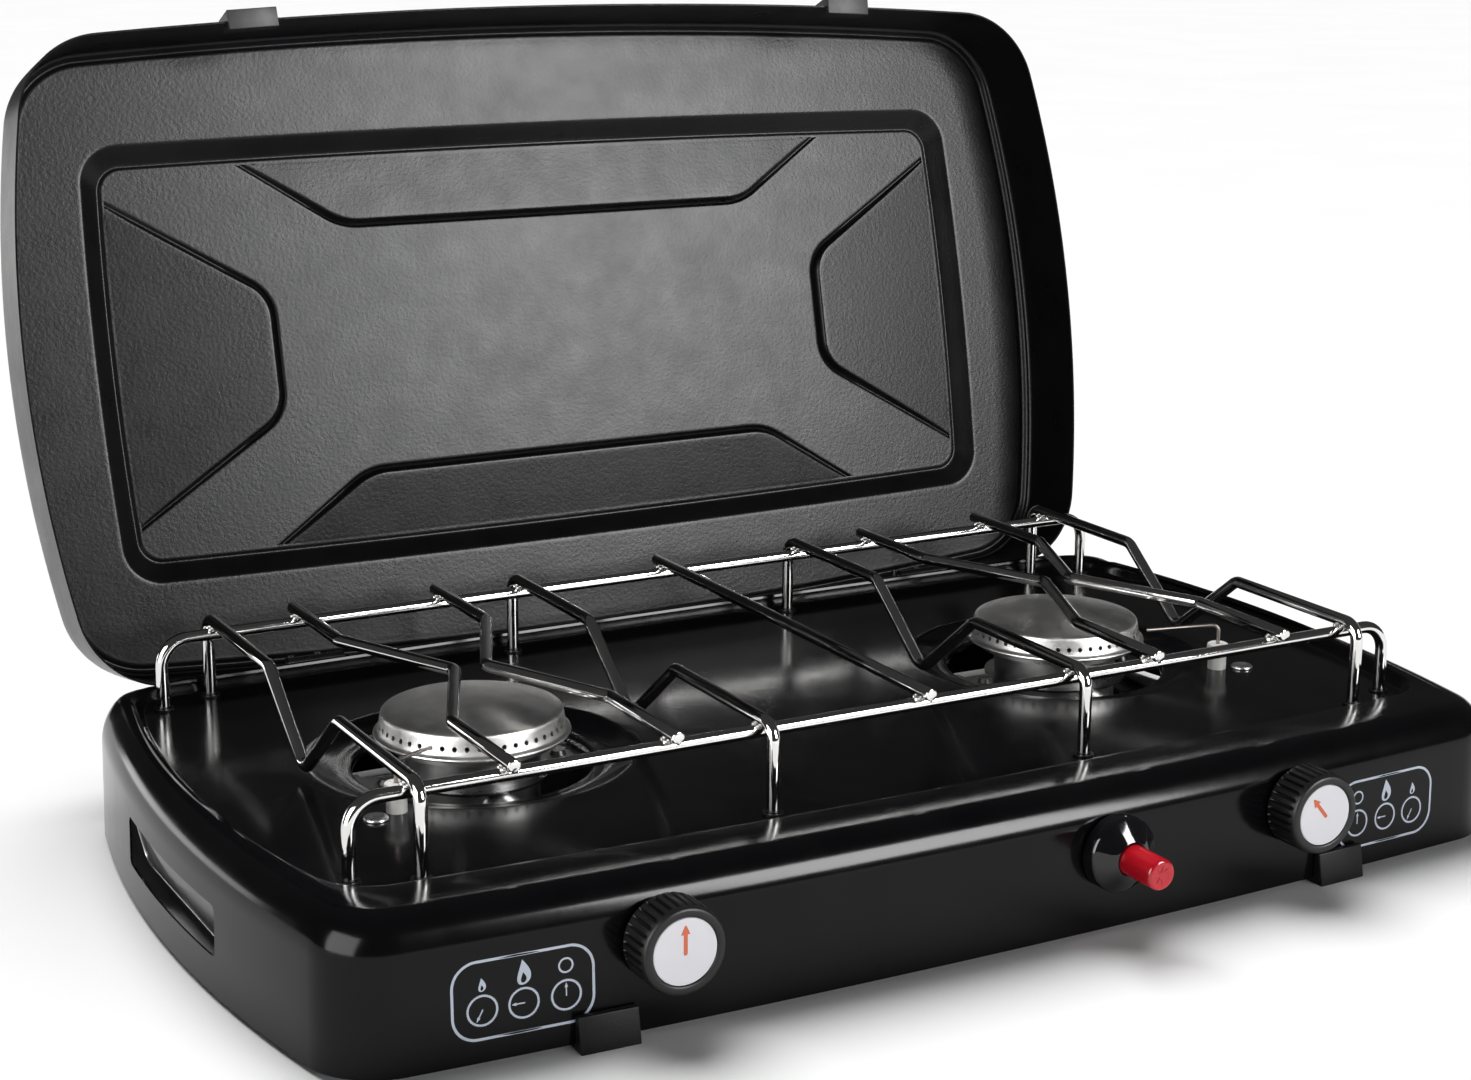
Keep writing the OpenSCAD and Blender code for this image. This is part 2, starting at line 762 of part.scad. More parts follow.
module base_leaf() {
  translate([hinge_x, 0, 0]) {
    difference() {
      translate([-hinge_w / 2, rear_wall_y, -18]) cube([hinge_w, 1.5, 17]);
      for (s = [-6, 6]) translate([s, 0, -11]) along_y(body_rear - 4, body_rear + 4, 1.7);
    }
    for (x = [-hinge_w / 2, knuckle_w / 2 + 0.3])
      translate([x, hinge_y, hinge_z]) {
        lug = (hinge_w - knuckle_w) / 2 - 0.3;
        difference() {
          union() {
            rotate([0, 90, 0]) cylinder(r = barrel_r, h = lug);
            translate([0, rear_wall_y - hinge_y, -1 - hinge_z]) cube([lug, 1.5, 2.5]);
          }
          translate([-1, 0, 0]) rotate([0, 90, 0]) cylinder(r = pin_r, h = lug + 2);
        }
      }
  }
}

module lid_leaf() {
  plate_y = 134;
  translate([hinge_x, 0, 0]) difference() {
    union() {
      translate([-knuckle_w / 2, hinge_y, hinge_z]) rotate([0, 90, 0])
        cylinder(r = barrel_r, h = knuckle_w);
      translate([-knuckle_w / 2, hinge_y + 0.5, hinge_z + 1])
        cube([knuckle_w, plate_y - hinge_y + 0.3, 6]);
      translate([0, plate_y, rim_z + 0.6])
        rotate([0, 0, -bow_angle(hinge_x, lid_end_bow, lid_half)])
          translate([-hinge_w / 2, 0, 0]) cube([hinge_w, 1.1, 14]);
    }
    translate([-knuckle_w, hinge_y, hinge_z]) rotate([0, 90, 0])
      cylinder(r = pin_r + 0.05, h = 2 * knuckle_w);
    for (s = [-6, 6]) translate([s, 0, stud_z]) along_y(plate_y - 5, plate_y + 5, 1.6);
  }
}

module left_base_leaf() { color([0.08, 0.08, 0.08]) stove() mirror([1, 0, 0]) base_leaf(); }
module right_base_leaf() { color([0.08, 0.08, 0.08]) stove() base_leaf(); }
module left_lid_leaf() { color([0.08, 0.08, 0.08]) lid_open() mirror([1, 0, 0]) lid_leaf(); }
module right_lid_leaf() { color([0.08, 0.08, 0.08]) lid_open() lid_leaf(); }

module hinge_pins() {
  color([0.7, 0.7, 0.7]) stove() both_sides()
    translate([hinge_x - hinge_w / 2, hinge_y, hinge_z]) rotate([0, 90, 0])
      cylinder(r = pin_r, h = hinge_w);
}

module base_leaf_rivets() {
  color([0.1, 0.1, 0.1]) stove() both_sides() for (s = [-6, 6])
    translate([hinge_x + s, 0, -11]) {
      along_y(body_rear - 4, body_rear + 0.3, 1.7);
      along_y(body_rear + 0.3, body_rear + 1.6, 2.8);
    }
}

module lid_leaf_rivets() {
  color([0.1, 0.1, 0.1]) lid_open() both_sides() for (s = [-6, 6])
    translate([hinge_x + s, 0, stud_z]) {
      along_y(129, 137, 1.6);
      along_y(137, 138.2, 3);
    }
}

// ---- Output ----

base_shell();
left_grip_plate();
right_grip_plate();
foot_clips();
leg_collars();
front_rail();
rear_rail();
bar_1();
bar_2();
bar_3();
bar_4();
bar_5();
bar_6();
bar_7();
bar_8();
bar_9();
left_burner_cap();
right_burner_cap();
left_burner_cup();
right_burner_cup();
left_mixing_tube();
right_mixing_tube();
left_burner_bracket();
right_burner_bracket();
bracket_screws();
left_electrode_ceramic();
right_electrode_ceramic();
left_electrode_wire();
right_electrode_wire();
electrode_plates();
electrode_rivets();
left_injector();
right_injector();
left_valve_body();
right_valve_body();
left_valve_stem();
right_valve_stem();
left_knob();
right_knob();
left_knob_disc();
right_knob_disc();
gas_pipe();
inlet_connector();
inlet_nut();
igniter_bezel();
igniter_body();
igniter_nut();
igniter_button();
left_spark_lead();
right_spark_lead();
lid_shell();
lid_clips();
left_base_leaf();
right_base_leaf();
left_lid_leaf();
right_lid_leaf();
hinge_pins();
base_leaf_rivets();
lid_leaf_rivets();
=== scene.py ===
"""Two-burner camping stove: looks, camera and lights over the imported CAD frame."""
import json
import math

import bmesh
import bpy
import numpy as np
from mathutils import Matrix, Vector
from mathutils.geometry import delaunay_2d_cdt, tessellate_polygon


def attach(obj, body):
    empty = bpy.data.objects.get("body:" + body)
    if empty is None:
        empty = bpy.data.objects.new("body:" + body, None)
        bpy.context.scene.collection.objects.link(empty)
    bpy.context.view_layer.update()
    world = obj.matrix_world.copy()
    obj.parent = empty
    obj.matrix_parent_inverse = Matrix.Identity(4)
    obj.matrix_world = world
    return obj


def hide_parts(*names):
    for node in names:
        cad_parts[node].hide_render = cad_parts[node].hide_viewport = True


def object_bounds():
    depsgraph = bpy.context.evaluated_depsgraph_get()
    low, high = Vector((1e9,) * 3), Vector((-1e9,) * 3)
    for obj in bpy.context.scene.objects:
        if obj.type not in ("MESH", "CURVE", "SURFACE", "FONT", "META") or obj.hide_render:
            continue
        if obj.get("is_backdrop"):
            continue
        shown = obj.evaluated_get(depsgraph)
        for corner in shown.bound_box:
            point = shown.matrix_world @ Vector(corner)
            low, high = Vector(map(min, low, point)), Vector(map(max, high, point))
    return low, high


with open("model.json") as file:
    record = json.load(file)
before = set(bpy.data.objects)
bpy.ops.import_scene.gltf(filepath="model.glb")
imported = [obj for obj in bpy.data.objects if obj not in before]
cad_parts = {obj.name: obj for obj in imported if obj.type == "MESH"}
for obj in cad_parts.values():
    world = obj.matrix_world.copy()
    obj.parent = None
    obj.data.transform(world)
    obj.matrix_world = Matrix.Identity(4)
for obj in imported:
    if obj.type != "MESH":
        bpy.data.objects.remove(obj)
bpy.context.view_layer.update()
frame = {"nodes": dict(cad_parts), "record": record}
NODES = frame["nodes"]

# ---------------------------------------------------------------- frame
# Dimensions are in millimetres from the worktop (z = 0), the line through
# both burners (y = 0) and the middle (x = 0), as in the CAD source.
ORIGIN_Y = 24.5
FLOOR_Z = 51.2
HINGE_Y, HINGE_Z = 131.7, 2.6
LID_ANGLE = math.radians(103.4)
RIM_Z = 7.5
LID_MID = -1.625
BURNER_X = 137.0
TAP_Z = -16.1
IGN_X, IGN_Z = 48.0, -18.5
SPARK_X, SPARK_Y = 187.4, -48.3
WALL_H = 49
BODY_FRONT, FRONT_BOW, BODY_REAR, REAR_BOW = 163, 7, 130, 2
LID_FRONT, LID_BOW = 144.25, 7.5
SHEET_T = 0.8
ROUND = 96


def to_frame(p):
    """Stove millimetres to metres in the row frame."""
    return (p[0] / 1000, (p[1] - ORIGIN_Y) / 1000, (p[2] + FLOOR_Z) / 1000)


def opened(p):
    """A point drawn on the closed lid, carried to the open lid."""
    y, z = p[1] - HINGE_Y, p[2] - HINGE_Z
    c, s = math.cos(LID_ANGLE), math.sin(LID_ANGLE)
    return (p[0], HINGE_Y + y * c + z * s, HINGE_Z - y * s + z * c)


# ---------------------------------------------------------------- meshes
def make(name, verts, faces, mat, body, replaces=(), lid=False, sharp=32.0):
    """One mesh piece from stove millimetres, smooth except over sharp edges."""
    if lid:
        verts = [opened(v) for v in verts]
    me = bpy.data.meshes.new(name)
    me.from_pydata([to_frame(v) for v in verts], [], faces)
    me.validate()
    me.update()
    ob = bpy.data.objects.new(name, me)
    bpy.context.scene.collection.objects.link(ob)
    me.materials.append(mat)
    smooth(ob, sharp)
    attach(ob, body)
    if replaces:
        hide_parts(*replaces)
    return ob


def smooth(ob, sharp=32.0):
    """Smooth shading, with an edge wherever faces meet at more than the given angle."""
    me = ob.data
    me.polygons.foreach_set("use_smooth", [True] * len(me.polygons))
    me.set_sharp_from_angle(angle=math.radians(sharp))
    me.update()


def bake(ob):
    """Applies the modifiers, so that the piece is a plain mesh."""
    bpy.context.view_layer.update()
    done = ob.evaluated_get(bpy.context.evaluated_depsgraph_get())
    me = bpy.data.meshes.new_from_object(done)
    ob.modifiers.clear()
    ob.data = me
    return ob


def cut(ob, cutters):
    """Cuts closed shapes, given as (verts, faces) in stove millimetres, out of ob."""
    verts, faces = [], []
    for v, f in cutters:
        faces += [[i + len(verts) for i in face] for face in f]
        verts += v
    me = bpy.data.meshes.new("cutter")
    me.from_pydata([to_frame(v) for v in verts], [], faces)
    tool = bpy.data.objects.new("cutter", me)
    bpy.context.scene.collection.objects.link(tool)
    mod = ob.modifiers.new("cut", "BOOLEAN")
    mod.operation = "DIFFERENCE"
    mod.solver = "EXACT"
    mod.object = tool
    bake(ob)
    bpy.data.objects.remove(tool)
    bpy.data.meshes.remove(me)


def loft(rings, closed=True, cap_start=False, cap_end=False):
    """Quads between rings of equal length."""
    n = len(rings[0])
    verts = [tuple(p) for ring in rings for p in ring]
    faces = []
    span = n if closed else n - 1
    for k in range(len(rings) - 1):
        a, b = k * n, (k + 1) * n
        for i in range(span):
            j = (i + 1) % n
            faces.append((a + i, a + j, b + j, b + i))
    if cap_start:
        faces.append(tuple(reversed(range(n))))
    if cap_end:
        faces.append(tuple(range((len(rings) - 1) * n, len(rings) * n)))
    return verts, faces


def frame_of(axis):
    """Two directions square to an axis."""
    axis = np.array(axis, float) / np.linalg.norm(axis)
    side = np.cross(axis, (0, 0, 1) if abs(axis[2]) < 0.9 else (1, 0, 0))
    side /= np.linalg.norm(side)
    return side, np.cross(axis, side), axis


def revolve(profile, centre, axis=(0, 0, 1), n=ROUND, radius=None, cap=(True, True)):
    """Profile of (radius, height) turned about an axis; radius(r, h, angle) may shape it."""
    u, v, w = frame_of(axis)
    c = np.array(centre, float)
    rings = []
    for r, h in profile:
        ring = []
        for i in range(n):
            a = 2 * math.pi * i / n
            rr = radius(r, h, a) if radius else r
            ring.append(tuple(c + u * rr * math.cos(a) + v * rr * math.sin(a) + w * h))
        rings.append(ring)
    return loft(rings, True, cap[0], cap[1])


def join(*parts):
    """Several (verts, faces) shapes as one."""
    verts, faces = [], []
    for v, f in parts:
        faces += [tuple(i + len(verts) for i in face) for face in f]
        verts += list(v)
    return verts, faces


def tube(points, r, bend=0.0, n=20, steps=7, round_ends=0.5):
    """Round wire through points, with bends of one radius and eased ends."""
    pts = [np.array(p, float) for p in points]
    path = [pts[0]]
    for i in range(1, len(pts) - 1):
        a = pts[i] - pts[i - 1]
        b = pts[i + 1] - pts[i]
        a /= np.linalg.norm(a)
        b /= np.linalg.norm(b)
        turn = math.acos(max(-1, min(1, float(a @ b))))
        if turn < 1e-3 or bend == 0:
            path.append(pts[i])
            continue
        cutback = bend * math.tan(turn / 2)
        start = pts[i] - a * cutback
        inward = b - a * float(a @ b)
        inward /= np.linalg.norm(inward)
        mid = start + inward * bend
        for k in range(steps + 1):
            t = turn * k / steps
            path.append(mid - inward * bend * math.cos(t) + a * bend * math.sin(t))
    path.append(pts[-1])
    tangents = []
    for i in range(len(path)):
        d = path[min(i + 1, len(path) - 1)] - path[max(i - 1, 0)]
        tangents.append(d / np.linalg.norm(d))
    side = frame_of(tangents[0])[0]
    rings = []
    for i, (p, t) in enumerate(zip(path, tangents)):
        side = side - t * float(side @ t)
        side /= np.linalg.norm(side)
        up = np.cross(t, side)
        sections = [(0.0, r)]
        if i == 0:
            sections = [(0.0, r - round_ends), (round_ends * 0.3, r - round_ends * 0.3),
                        (round_ends, r)]
        if i == len(path) - 1:
            sections = [(-round_ends, r), (-round_ends * 0.3, r - round_ends * 0.3),
                        (0.0, r - round_ends)]
        for shift, rad in sections:
            c = p + t * shift
            rings.append([tuple(c + rad * (side * math.cos(2 * math.pi * k / n)
                                           + up * math.sin(2 * math.pi * k / n)))
                          for k in range(n)])
    return loft(rings, True, True, True)


def prism(profile, place, width, soft=0.35):
    """Outline (a, b) extruded along x by width, with its end edges eased."""
    rings = []
    mid = np.mean(np.array(profile), axis=0)
    for x, k in [(-width / 2, 1), (-width / 2 + soft * 0.3, 0.3), (-width / 2 + soft, 0),
                 (width / 2 - soft, 0), (width / 2 - soft * 0.3, 0.3), (width / 2, 1)]:
        ring = []
        for a, b in profile:
            d = np.array([a, b]) - mid
            d = d / (np.linalg.norm(d) + 1e-9) * soft * k
            ring.append(place(x, a - d[0], b - d[1]))
        rings.append(ring)
    return loft(rings, True, True, True)


def rounded(profile, r, steps=4):
    """Polygon with every corner rounded."""
    out = []
    n = len(profile)
    for i in range(n):
        p = np.array(profile[i], float)
        a = np.array(profile[i - 1], float) - p
        b = np.array(profile[(i + 1) % n], float) - p
        la, lb = np.linalg.norm(a), np.linalg.norm(b)
        a, b = a / la, b / lb
        cut_len = min(r, la * 0.45, lb * 0.45)
        for k in range(steps + 1):
            t = k / steps
            q = (1 - t) ** 2 * (p + a * cut_len) + 2 * t * (1 - t) * p + t * t * (p + b * cut_len)
            out.append((float(q[0]), float(q[1])))
    return out


def outline(half_w, front, rear, bow_s, bow_f, bow_r, r, nc=14, nx=60, ny=30):
    """Points and outward normals round a rectangle with bowed sides and round corners.

    Each bow leaves the corner arcs without a kink."""
    mid = (rear - front) / 2
    half_d = (rear + front) / 2 - r
    wc = half_w - r - bow_s
    yf = mid - half_d + bow_f
    yr = mid + half_d - bow_r
    ym, yh = (yf + yr) / 2, (yr - yf) / 2
    lean_s = math.atan(2 * bow_s / yh)
    lean_f = math.atan(2 * bow_f / wc)
    lean_r = math.atan(2 * bow_r / wc)
    pts, nrm = [], []

    def arc(cx, cy, a0, a1):
        for i in range(nc + 1):
            a = a0 + (a1 - a0) * i / nc
            pts.append((cx + r * math.cos(a), cy + r * math.sin(a)))
            nrm.append((math.cos(a), math.sin(a)))

    def side(cx, cy, along, out, reach, lean, n):
        """Shallow curve between two arcs, along one direction and bulging in the other."""
        length = reach + r * math.sin(lean)
        bulge = math.tan(lean) * length / 2
        for i in range(n):
            t = -1 + 2 * (i + 1) / (n + 1)
            d = r * math.cos(lean) + bulge * (1 - t * t)
            pts.append((cx + along[0] * length * t + out[0] * d,
                        cy + along[1] * length * t + out[1] * d))
            slope = 2 * bulge * t / length
            k = math.hypot(1, slope)
            nrm.append(((out[0] + along[0] * slope) / k, (out[1] + along[1] * slope) / k))

    q = math.pi / 2
    arc(-wc, yf, 2 * q + lean_s, 3 * q - lean_f)
    side(0, yf, (1, 0), (0, -1), wc, lean_f, nx)
    arc(wc, yf, 3 * q + lean_f, 4 * q - lean_s)
    side(wc, ym, (0, 1), (1, 0), yh, lean_s, ny)
    arc(wc, yr, lean_s, q - lean_r)
    side(0, yr, (-1, 0), (0, 1), wc, lean_r, nx)
    arc(-wc, yr, q + lean_r, 2 * q - lean_s)
    side(-wc, ym, (0, -1), (-1, 0), yh, lean_s, ny)
    return np.array(pts), np.array(nrm)


def ring_at(line, inset, z):
    """An outline moved inwards, at one height."""
    p = line[0] - line[1] * inset
    return [(float(a), float(b), z) for a, b in p]


def mix_ring(a, b, t, z):
    """Ring a share t of the way from one ring to another, at one height."""
    return [(p[0] * (1 - t) + q[0] * t, p[1] * (1 - t) + q[1] * t, z) for p, q in zip(a, b)]


# ---------------------------------------------------------------- materials
class Nodes:
    """Short way to wire a procedural material."""

    def __init__(self, name):
        self.mat = bpy.data.materials.new(name)
        self.mat.use_nodes = True
        self.tree = self.mat.node_tree
        self.bsdf = self.tree.nodes["Principled BSDF"]
        self.coord = self.tree.nodes.new("ShaderNodeTexCoord").outputs["Object"]

    def new(self, kind, **inputs):
        node = self.tree.nodes.new(kind)
        for key, value in inputs.items():
            node.inputs[key].default_value = value
        return node

    def link(self, a, b):
        self.tree.links.new(a, b)

    def noise(self, scale, detail=2.0, rough=0.5):
        node = self.new("ShaderNodeTexNoise", Scale=scale, Detail=detail, Roughness=rough)
        self.link(self.coord, node.inputs["Vector"])
        return node.outputs["Fac"]

    def span(self, value, low, high, start=0.3, end=0.7):
        node = self.new("ShaderNodeMapRange")
        node.inputs["From Min"].default_value = start
        node.inputs["From Max"].default_value = end
        node.inputs["To Min"].default_value = low
        node.inputs["To Max"].default_value = high
        self.link(value, node.inputs["Value"])
        return node.outputs["Result"]

    def blend(self, value, a, b):
        node = self.tree.nodes.new("ShaderNodeMix")
        node.data_type = "RGBA"
        node.inputs[6].default_value = (*a, 1)
        node.inputs[7].default_value = (*b, 1)
        self.link(value, node.inputs[0])
        return node.outputs[2]

    def bump(self, height, strength, distance, under=None):
        node = self.new("ShaderNodeBump", Strength=strength, Distance=distance)
        self.link(height, node.inputs["Height"])
        if under:
            self.link(under, node.inputs["Normal"])
        return node.outputs["Normal"]


COAT_ROUGH = 0.05


def finish_mat(name, dark, light, rough, vary=0.05, metallic=0.0, grain=(), coat=0.0,
               ior=1.5, tone_scale=30.0, rough_scale=60.0):
    """Principled finish: toned colour, varied roughness and layered bumps.

    grain is a list of (scale, strength, distance, detail)."""
    m = Nodes(name)
    tone = m.span(m.noise(tone_scale, 3.0), 0.0, 1.0)
    m.link(m.blend(tone, dark, light), m.bsdf.inputs["Base Color"])
    m.link(m.span(m.noise(rough_scale, 4.0, 0.6), max(0.02, rough - vary), rough + vary),
           m.bsdf.inputs["Roughness"])
    m.bsdf.inputs["Metallic"].default_value = metallic
    m.bsdf.inputs["IOR"].default_value = ior
    m.bsdf.inputs["Coat Weight"].default_value = coat
    m.bsdf.inputs["Coat Roughness"].default_value = COAT_ROUGH
    normal = None
    for scale, strength, distance, detail in grain:
        normal = m.bump(m.noise(scale, detail, 0.55), strength, distance, normal)
    if normal:
        m.link(normal, m.bsdf.inputs["Normal"])
    return m.mat


MAT = {
    "enamel": finish_mat("black_enamel", (.0025, .0025, .003), (.004, .004, .0045), .15, .02,
                         grain=[(520, .04, .0002, 2), (28, .08, .0006, 1)], ior=1.25),
    "lid_enamel": finish_mat("lid_enamel", (.005, .005, .006), (.008, .008, .009), .30, .03,
                             grain=[(620, .26, .0003, 2.5), (1700, .10, .0001, 1)], ior=1.26),
    "grip_plate": finish_mat("grip_plate", (.02, .02, .021), (.03, .03, .032), .22, .04,
                             grain=[(90, .1, .0004, 1)]),
    "clip_plastic": finish_mat("clip_plastic", (.003, .003, .003), (.006, .006, .0065), .45, .08,
                               grain=[(900, .25, .0002, 3)], ior=1.25),
    "lid_clip_plastic": finish_mat("lid_clip_plastic", (.008, .008, .009), (.012, .012, .013), .5,
                                   .06, grain=[(700, .2, .0002, 3)]),
    "wire_chrome": finish_mat("wire_chrome", (.70, .69, .68), (.78, .77, .76), .07, .03,
                              metallic=1.0, grain=[(260, .05, .0003, 2)]),
    "cap_aluminium": finish_mat("cap_aluminium", (.62, .61, .60), (.74, .73, .72), .36, .05,
                                metallic=1.0, grain=[(2600, .35, .0002, 2), (140, .05, .0006, 2)],
                                tone_scale=160, rough_scale=220),
    "cup_steel": finish_mat("cup_steel", (.30, .30, .30), (.42, .42, .41), .34, .08,
                            metallic=1.0, grain=[(300, .1, .0003, 3)]),
    "tube_aluminium": finish_mat("tube_aluminium", (.6, .6, .6), (.72, .72, .72), .33, .08,
                                 metallic=1.0, grain=[(240, .1, .0003, 3)]),
    "bracket_steel": finish_mat("bracket_steel", (.012, .012, .013), (.02, .02, .022), .3, .06,
                                grain=[(320, .15, .0003, 2)]),
    "zinc_steel": finish_mat("zinc_steel", (.62, .62, .63), (.78, .78, .78), .28, .08,
                             metallic=1.0, grain=[(500, .15, .0002, 3)]),
    "ceramic": finish_mat("ceramic", (.78, .77, .74), (.86, .85, .83), .28, .08, coat=.3,
                          grain=[(300, .06, .0003, 2)]),
    "electrode_alloy": finish_mat("electrode_alloy", (.24, .21, .19), (.40, .37, .34), .38, .1,
                                  metallic=1.0, grain=[(800, .2, .0002, 3)]),
    "brass": finish_mat("brass", (.62, .44, .20), (.75, .56, .28), .28, .08, metallic=1.0,
                        grain=[(400, .12, .0002, 3)]),
    "knob_plastic": finish_mat("knob_plastic", (.006, .006, .0062), (.010, .010, .0105), .42, .07,
                               grain=[(1500, .3, .0002, 3), (300, .08, .0003, 2)], ior=1.38),
    "disc_plastic": finish_mat("disc_plastic", (.66, .65, .69), (.70, .69, .73), .35, .05,
                               grain=[(900, .05, .0002, 2)]),
    "bezel_plastic": finish_mat("bezel_plastic", (.004, .004, .005), (.007, .007, .008), .06,
                                .02, grain=[(120, .03, .0005, 1)]),
    "body_plastic": finish_mat("body_plastic", (.68, .68, .64), (.75, .75, .71), .4, .06,
                               grain=[(600, .15, .0002, 3)]),
    "button_plastic": finish_mat("button_plastic", (.42, .004, .012), (.52, .008, .02), .16,
                                 .04, grain=[(200, .05, .0004, 2)]),
    "lead_silicone": finish_mat("lead_silicone", (.6, .6, .57), (.7, .7, .67), .5, .08,
                                grain=[(700, .2, .0002, 3)]),
    "hinge_steel": finish_mat("hinge_steel", (.008, .008, .009), (.016, .016, .017), .26, .06,
                              grain=[(500, .15, .0002, 3)]),
    "print_ink": finish_mat("print_ink", (.42, .47, .55), (.48, .53, .61), .45, .06,
                            grain=[(1500, .1, .0001, 2)]),
    "arrow_ink": finish_mat("arrow_ink", (.56, .10, .035), (.62, .13, .045), .45, .06,
                            grain=[(1500, .1, .0001, 2)]),
    "weld": finish_mat("weld_bead", (.40, .39, .38), (.55, .54, .53), .28, .08, metallic=1.0,
                       grain=[(900, .5, .0004, 3)]),
}

slot_of = {s["node"]: s["material_slot"] for s in frame["record"]["subparts"]}
for name, node in NODES.items():
    node.data.materials.clear()
    node.data.materials.append(MAT[slot_of[name]])
NODES["bracket_screws"].data.materials[0] = MAT["bracket_steel"]

# ---------------------------------------------------------------- body shell
outer = outline(265, BODY_FRONT, BODY_REAR, 11, FRONT_BOW, REAR_BOW, 28)
pan = outline(247, 126.5, 120, 11, 6, 2, 20)
ROLL_H, ROLL_WIDE, ROLL_TIGHTER = 15.0, 13.5, 7.5
CREST = 5.0
PAN_RISE = 4.5

# The shoulder is wide along the front and the sides and tighter under the hinges
lean_back = np.clip(outer[1][:, 1] / 0.9, 0, 1)
ROLL_W = ROLL_WIDE - ROLL_TIGHTER * lean_back * lean_back * (3 - 2 * lean_back)


def wall_draft(z):
    """The walls lean in by 1 mm from their lower edge to the shoulder."""
    return min(1.0, (z + WALL_H) / (WALL_H + CREST - ROLL_H))


def shell_ring(share, z):
    """Ring round the body: the wall's draft, then a share of the shoulder's width."""
    draft = wall_draft(z)
    p = outer[0] - outer[1] * (draft + ROLL_W * share)[:, None]
    return [(float(a), float(b), z) for a, b in p]


rings = [shell_ring(0.0, z) for z in (-WALL_H, -48.4, -46, -38, -30, -22, -16, -12)]
for k in range(0, 17):
    a = math.pi / 2 * k / 16
    rings.append(shell_ring(1 - math.cos(a), CREST - ROLL_H + ROLL_H * math.sin(a)))
deck_in = ring_at(pan, -PAN_RISE, CREST)
deck_out = rings[-1]
for t in (0.08, 0.3, 0.6, 0.85, 0.95):
    rings.append(mix_ring(deck_out, deck_in, t, CREST + 0.35 * math.sin(math.pi * t)))
for k in range(0, 13):
    t = k / 12
    rings.append(ring_at(pan, -PAN_RISE * (1 - t), CREST * (0.5 + 0.5 * math.cos(math.pi * t))))
rings.append(ring_at(pan, 0.8, 0.0))
rings.append(ring_at(pan, 2.0, 0.0))
verts, faces = loft(rings)


def circle(cx, r, z, n=ROUND):
    """Ring about a burner's axis."""
    return [(cx + r * math.cos(2 * math.pi * i / n), r * math.sin(2 * math.pi * i / n), z)
            for i in range(n)]


dish = [(66, 0), (64.5, 0), (63.6, -.05), (62.6, -.25), (61.6, -.7), (60.4, -1.4), (55.5, -3.2),
        (53.5, -3.85), (52, -4.1), (50.4, -4.2), (48.4, -4.2), (47.4, -4.35), (46.7, -4.8),
        (46.3, -5.6), (46.2, -7.0)]
hole_start = []
for sx in (-1, 1):
    part = loft([circle(sx * BURNER_X, r, z) for r, z in dish])
    hole_start.append(len(verts))
    faces += [tuple(i + len(verts) for i in f) for f in part[1]]
    verts += part[0]
n_ring = len(rings[0])
loop = list(range((len(rings) - 1) * n_ring, len(rings) * n_ring))
holes = [list(range(h, h + ROUND)) for h in hole_start]
flat = tessellate_polygon([[Vector((*verts[i][:2], 0)) for i in line]
                           for line in [loop] + holes])
index = loop + holes[0] + holes[1]
faces += [tuple(index[i] for i in tri) for tri in flat]
shell = make("enamel_body", verts, faces, MAT["enamel"], "base", ("base_shell",))


def face_normals_up(ob):
    """Turns the flat worktop's faces the same way as the rest."""
    bm = bmesh.new()
    bm.from_mesh(ob.data)
    bmesh.ops.remove_doubles(bm, verts=bm.verts, dist=1e-7)
    bmesh.ops.recalc_face_normals(bm, faces=bm.faces)
    top = max(bm.faces, key=lambda f: f.calc_center_median().z)
    if top.normal.z < 0:
        bmesh.ops.reverse_faces(bm, faces=bm.faces)
    bm.to_mesh(ob.data)
    bm.free()


face_normals_up(shell)
solid = shell.modifiers.new("sheet", "SOLIDIFY")
solid.thickness = SHEET_T / 1000
solid.offset = -1
bake(shell)


def slab_x(x0, x1, y0, y1, z0, z1, r):
    """Block with corners rounded in the Y-Z plane."""
    prof = rounded([(y0, z0), (y1, z0), (y1, z1), (y0, z1)], r, 5)
    return loft([[(x, a, b) for a, b in prof] for x in sorted((x0, x1))], True, True, True)


GRIP = (-66.0, 35.0, -35.0, -16.0)
cutters = [slab_x(s * 240, s * 272, *GRIP, 3.0) for s in (-1, 1)]
TAP_HOLE_R, IGN_HOLE_R = 5.6, 9.05
cutters += [revolve([(TAP_HOLE_R, 150), (TAP_HOLE_R, 170)], (s * BURNER_X, 0, TAP_Z),
                    (0, -1, 0), 32) for s in (-1, 1)]
cutters.append(revolve([(IGN_HOLE_R, 150), (IGN_HOLE_R, 170)], (IGN_X, 0, IGN_Z),
                       (0, -1, 0), 32))
cut(shell, cutters)
smooth(shell, 30)

# Grip plates with an eased edge, and a thin bright metal bead round each as a painted highlight
# along that edge
GRIP_FACE_X, GRIP_LEAN, GRIP_BULGE = 262.9, 4.2, 2.5
y0, y1, z0, z1 = GRIP
mid_y, mid_z = (y0 + y1) / 2, (z0 + z1) / 2
rim_line = rounded([(y0 + .8, z0 + 1), (y1 - .8, z0 + 1), (y1 - .8, z1 - .6),
                    (y0 + .8, z1 - .6)], 6.0, 6)


def grip_point(sx, y, z, back=0.0):
    """Point on a grip plate's face: it leans in downwards and follows the wall's bow."""
    lean = (z1 - z) / (z1 - z0)
    bulge = GRIP_BULGE * ((y - mid_y) / 50) ** 2
    return (sx * (GRIP_FACE_X - GRIP_LEAN * lean - bulge - back), y, z)


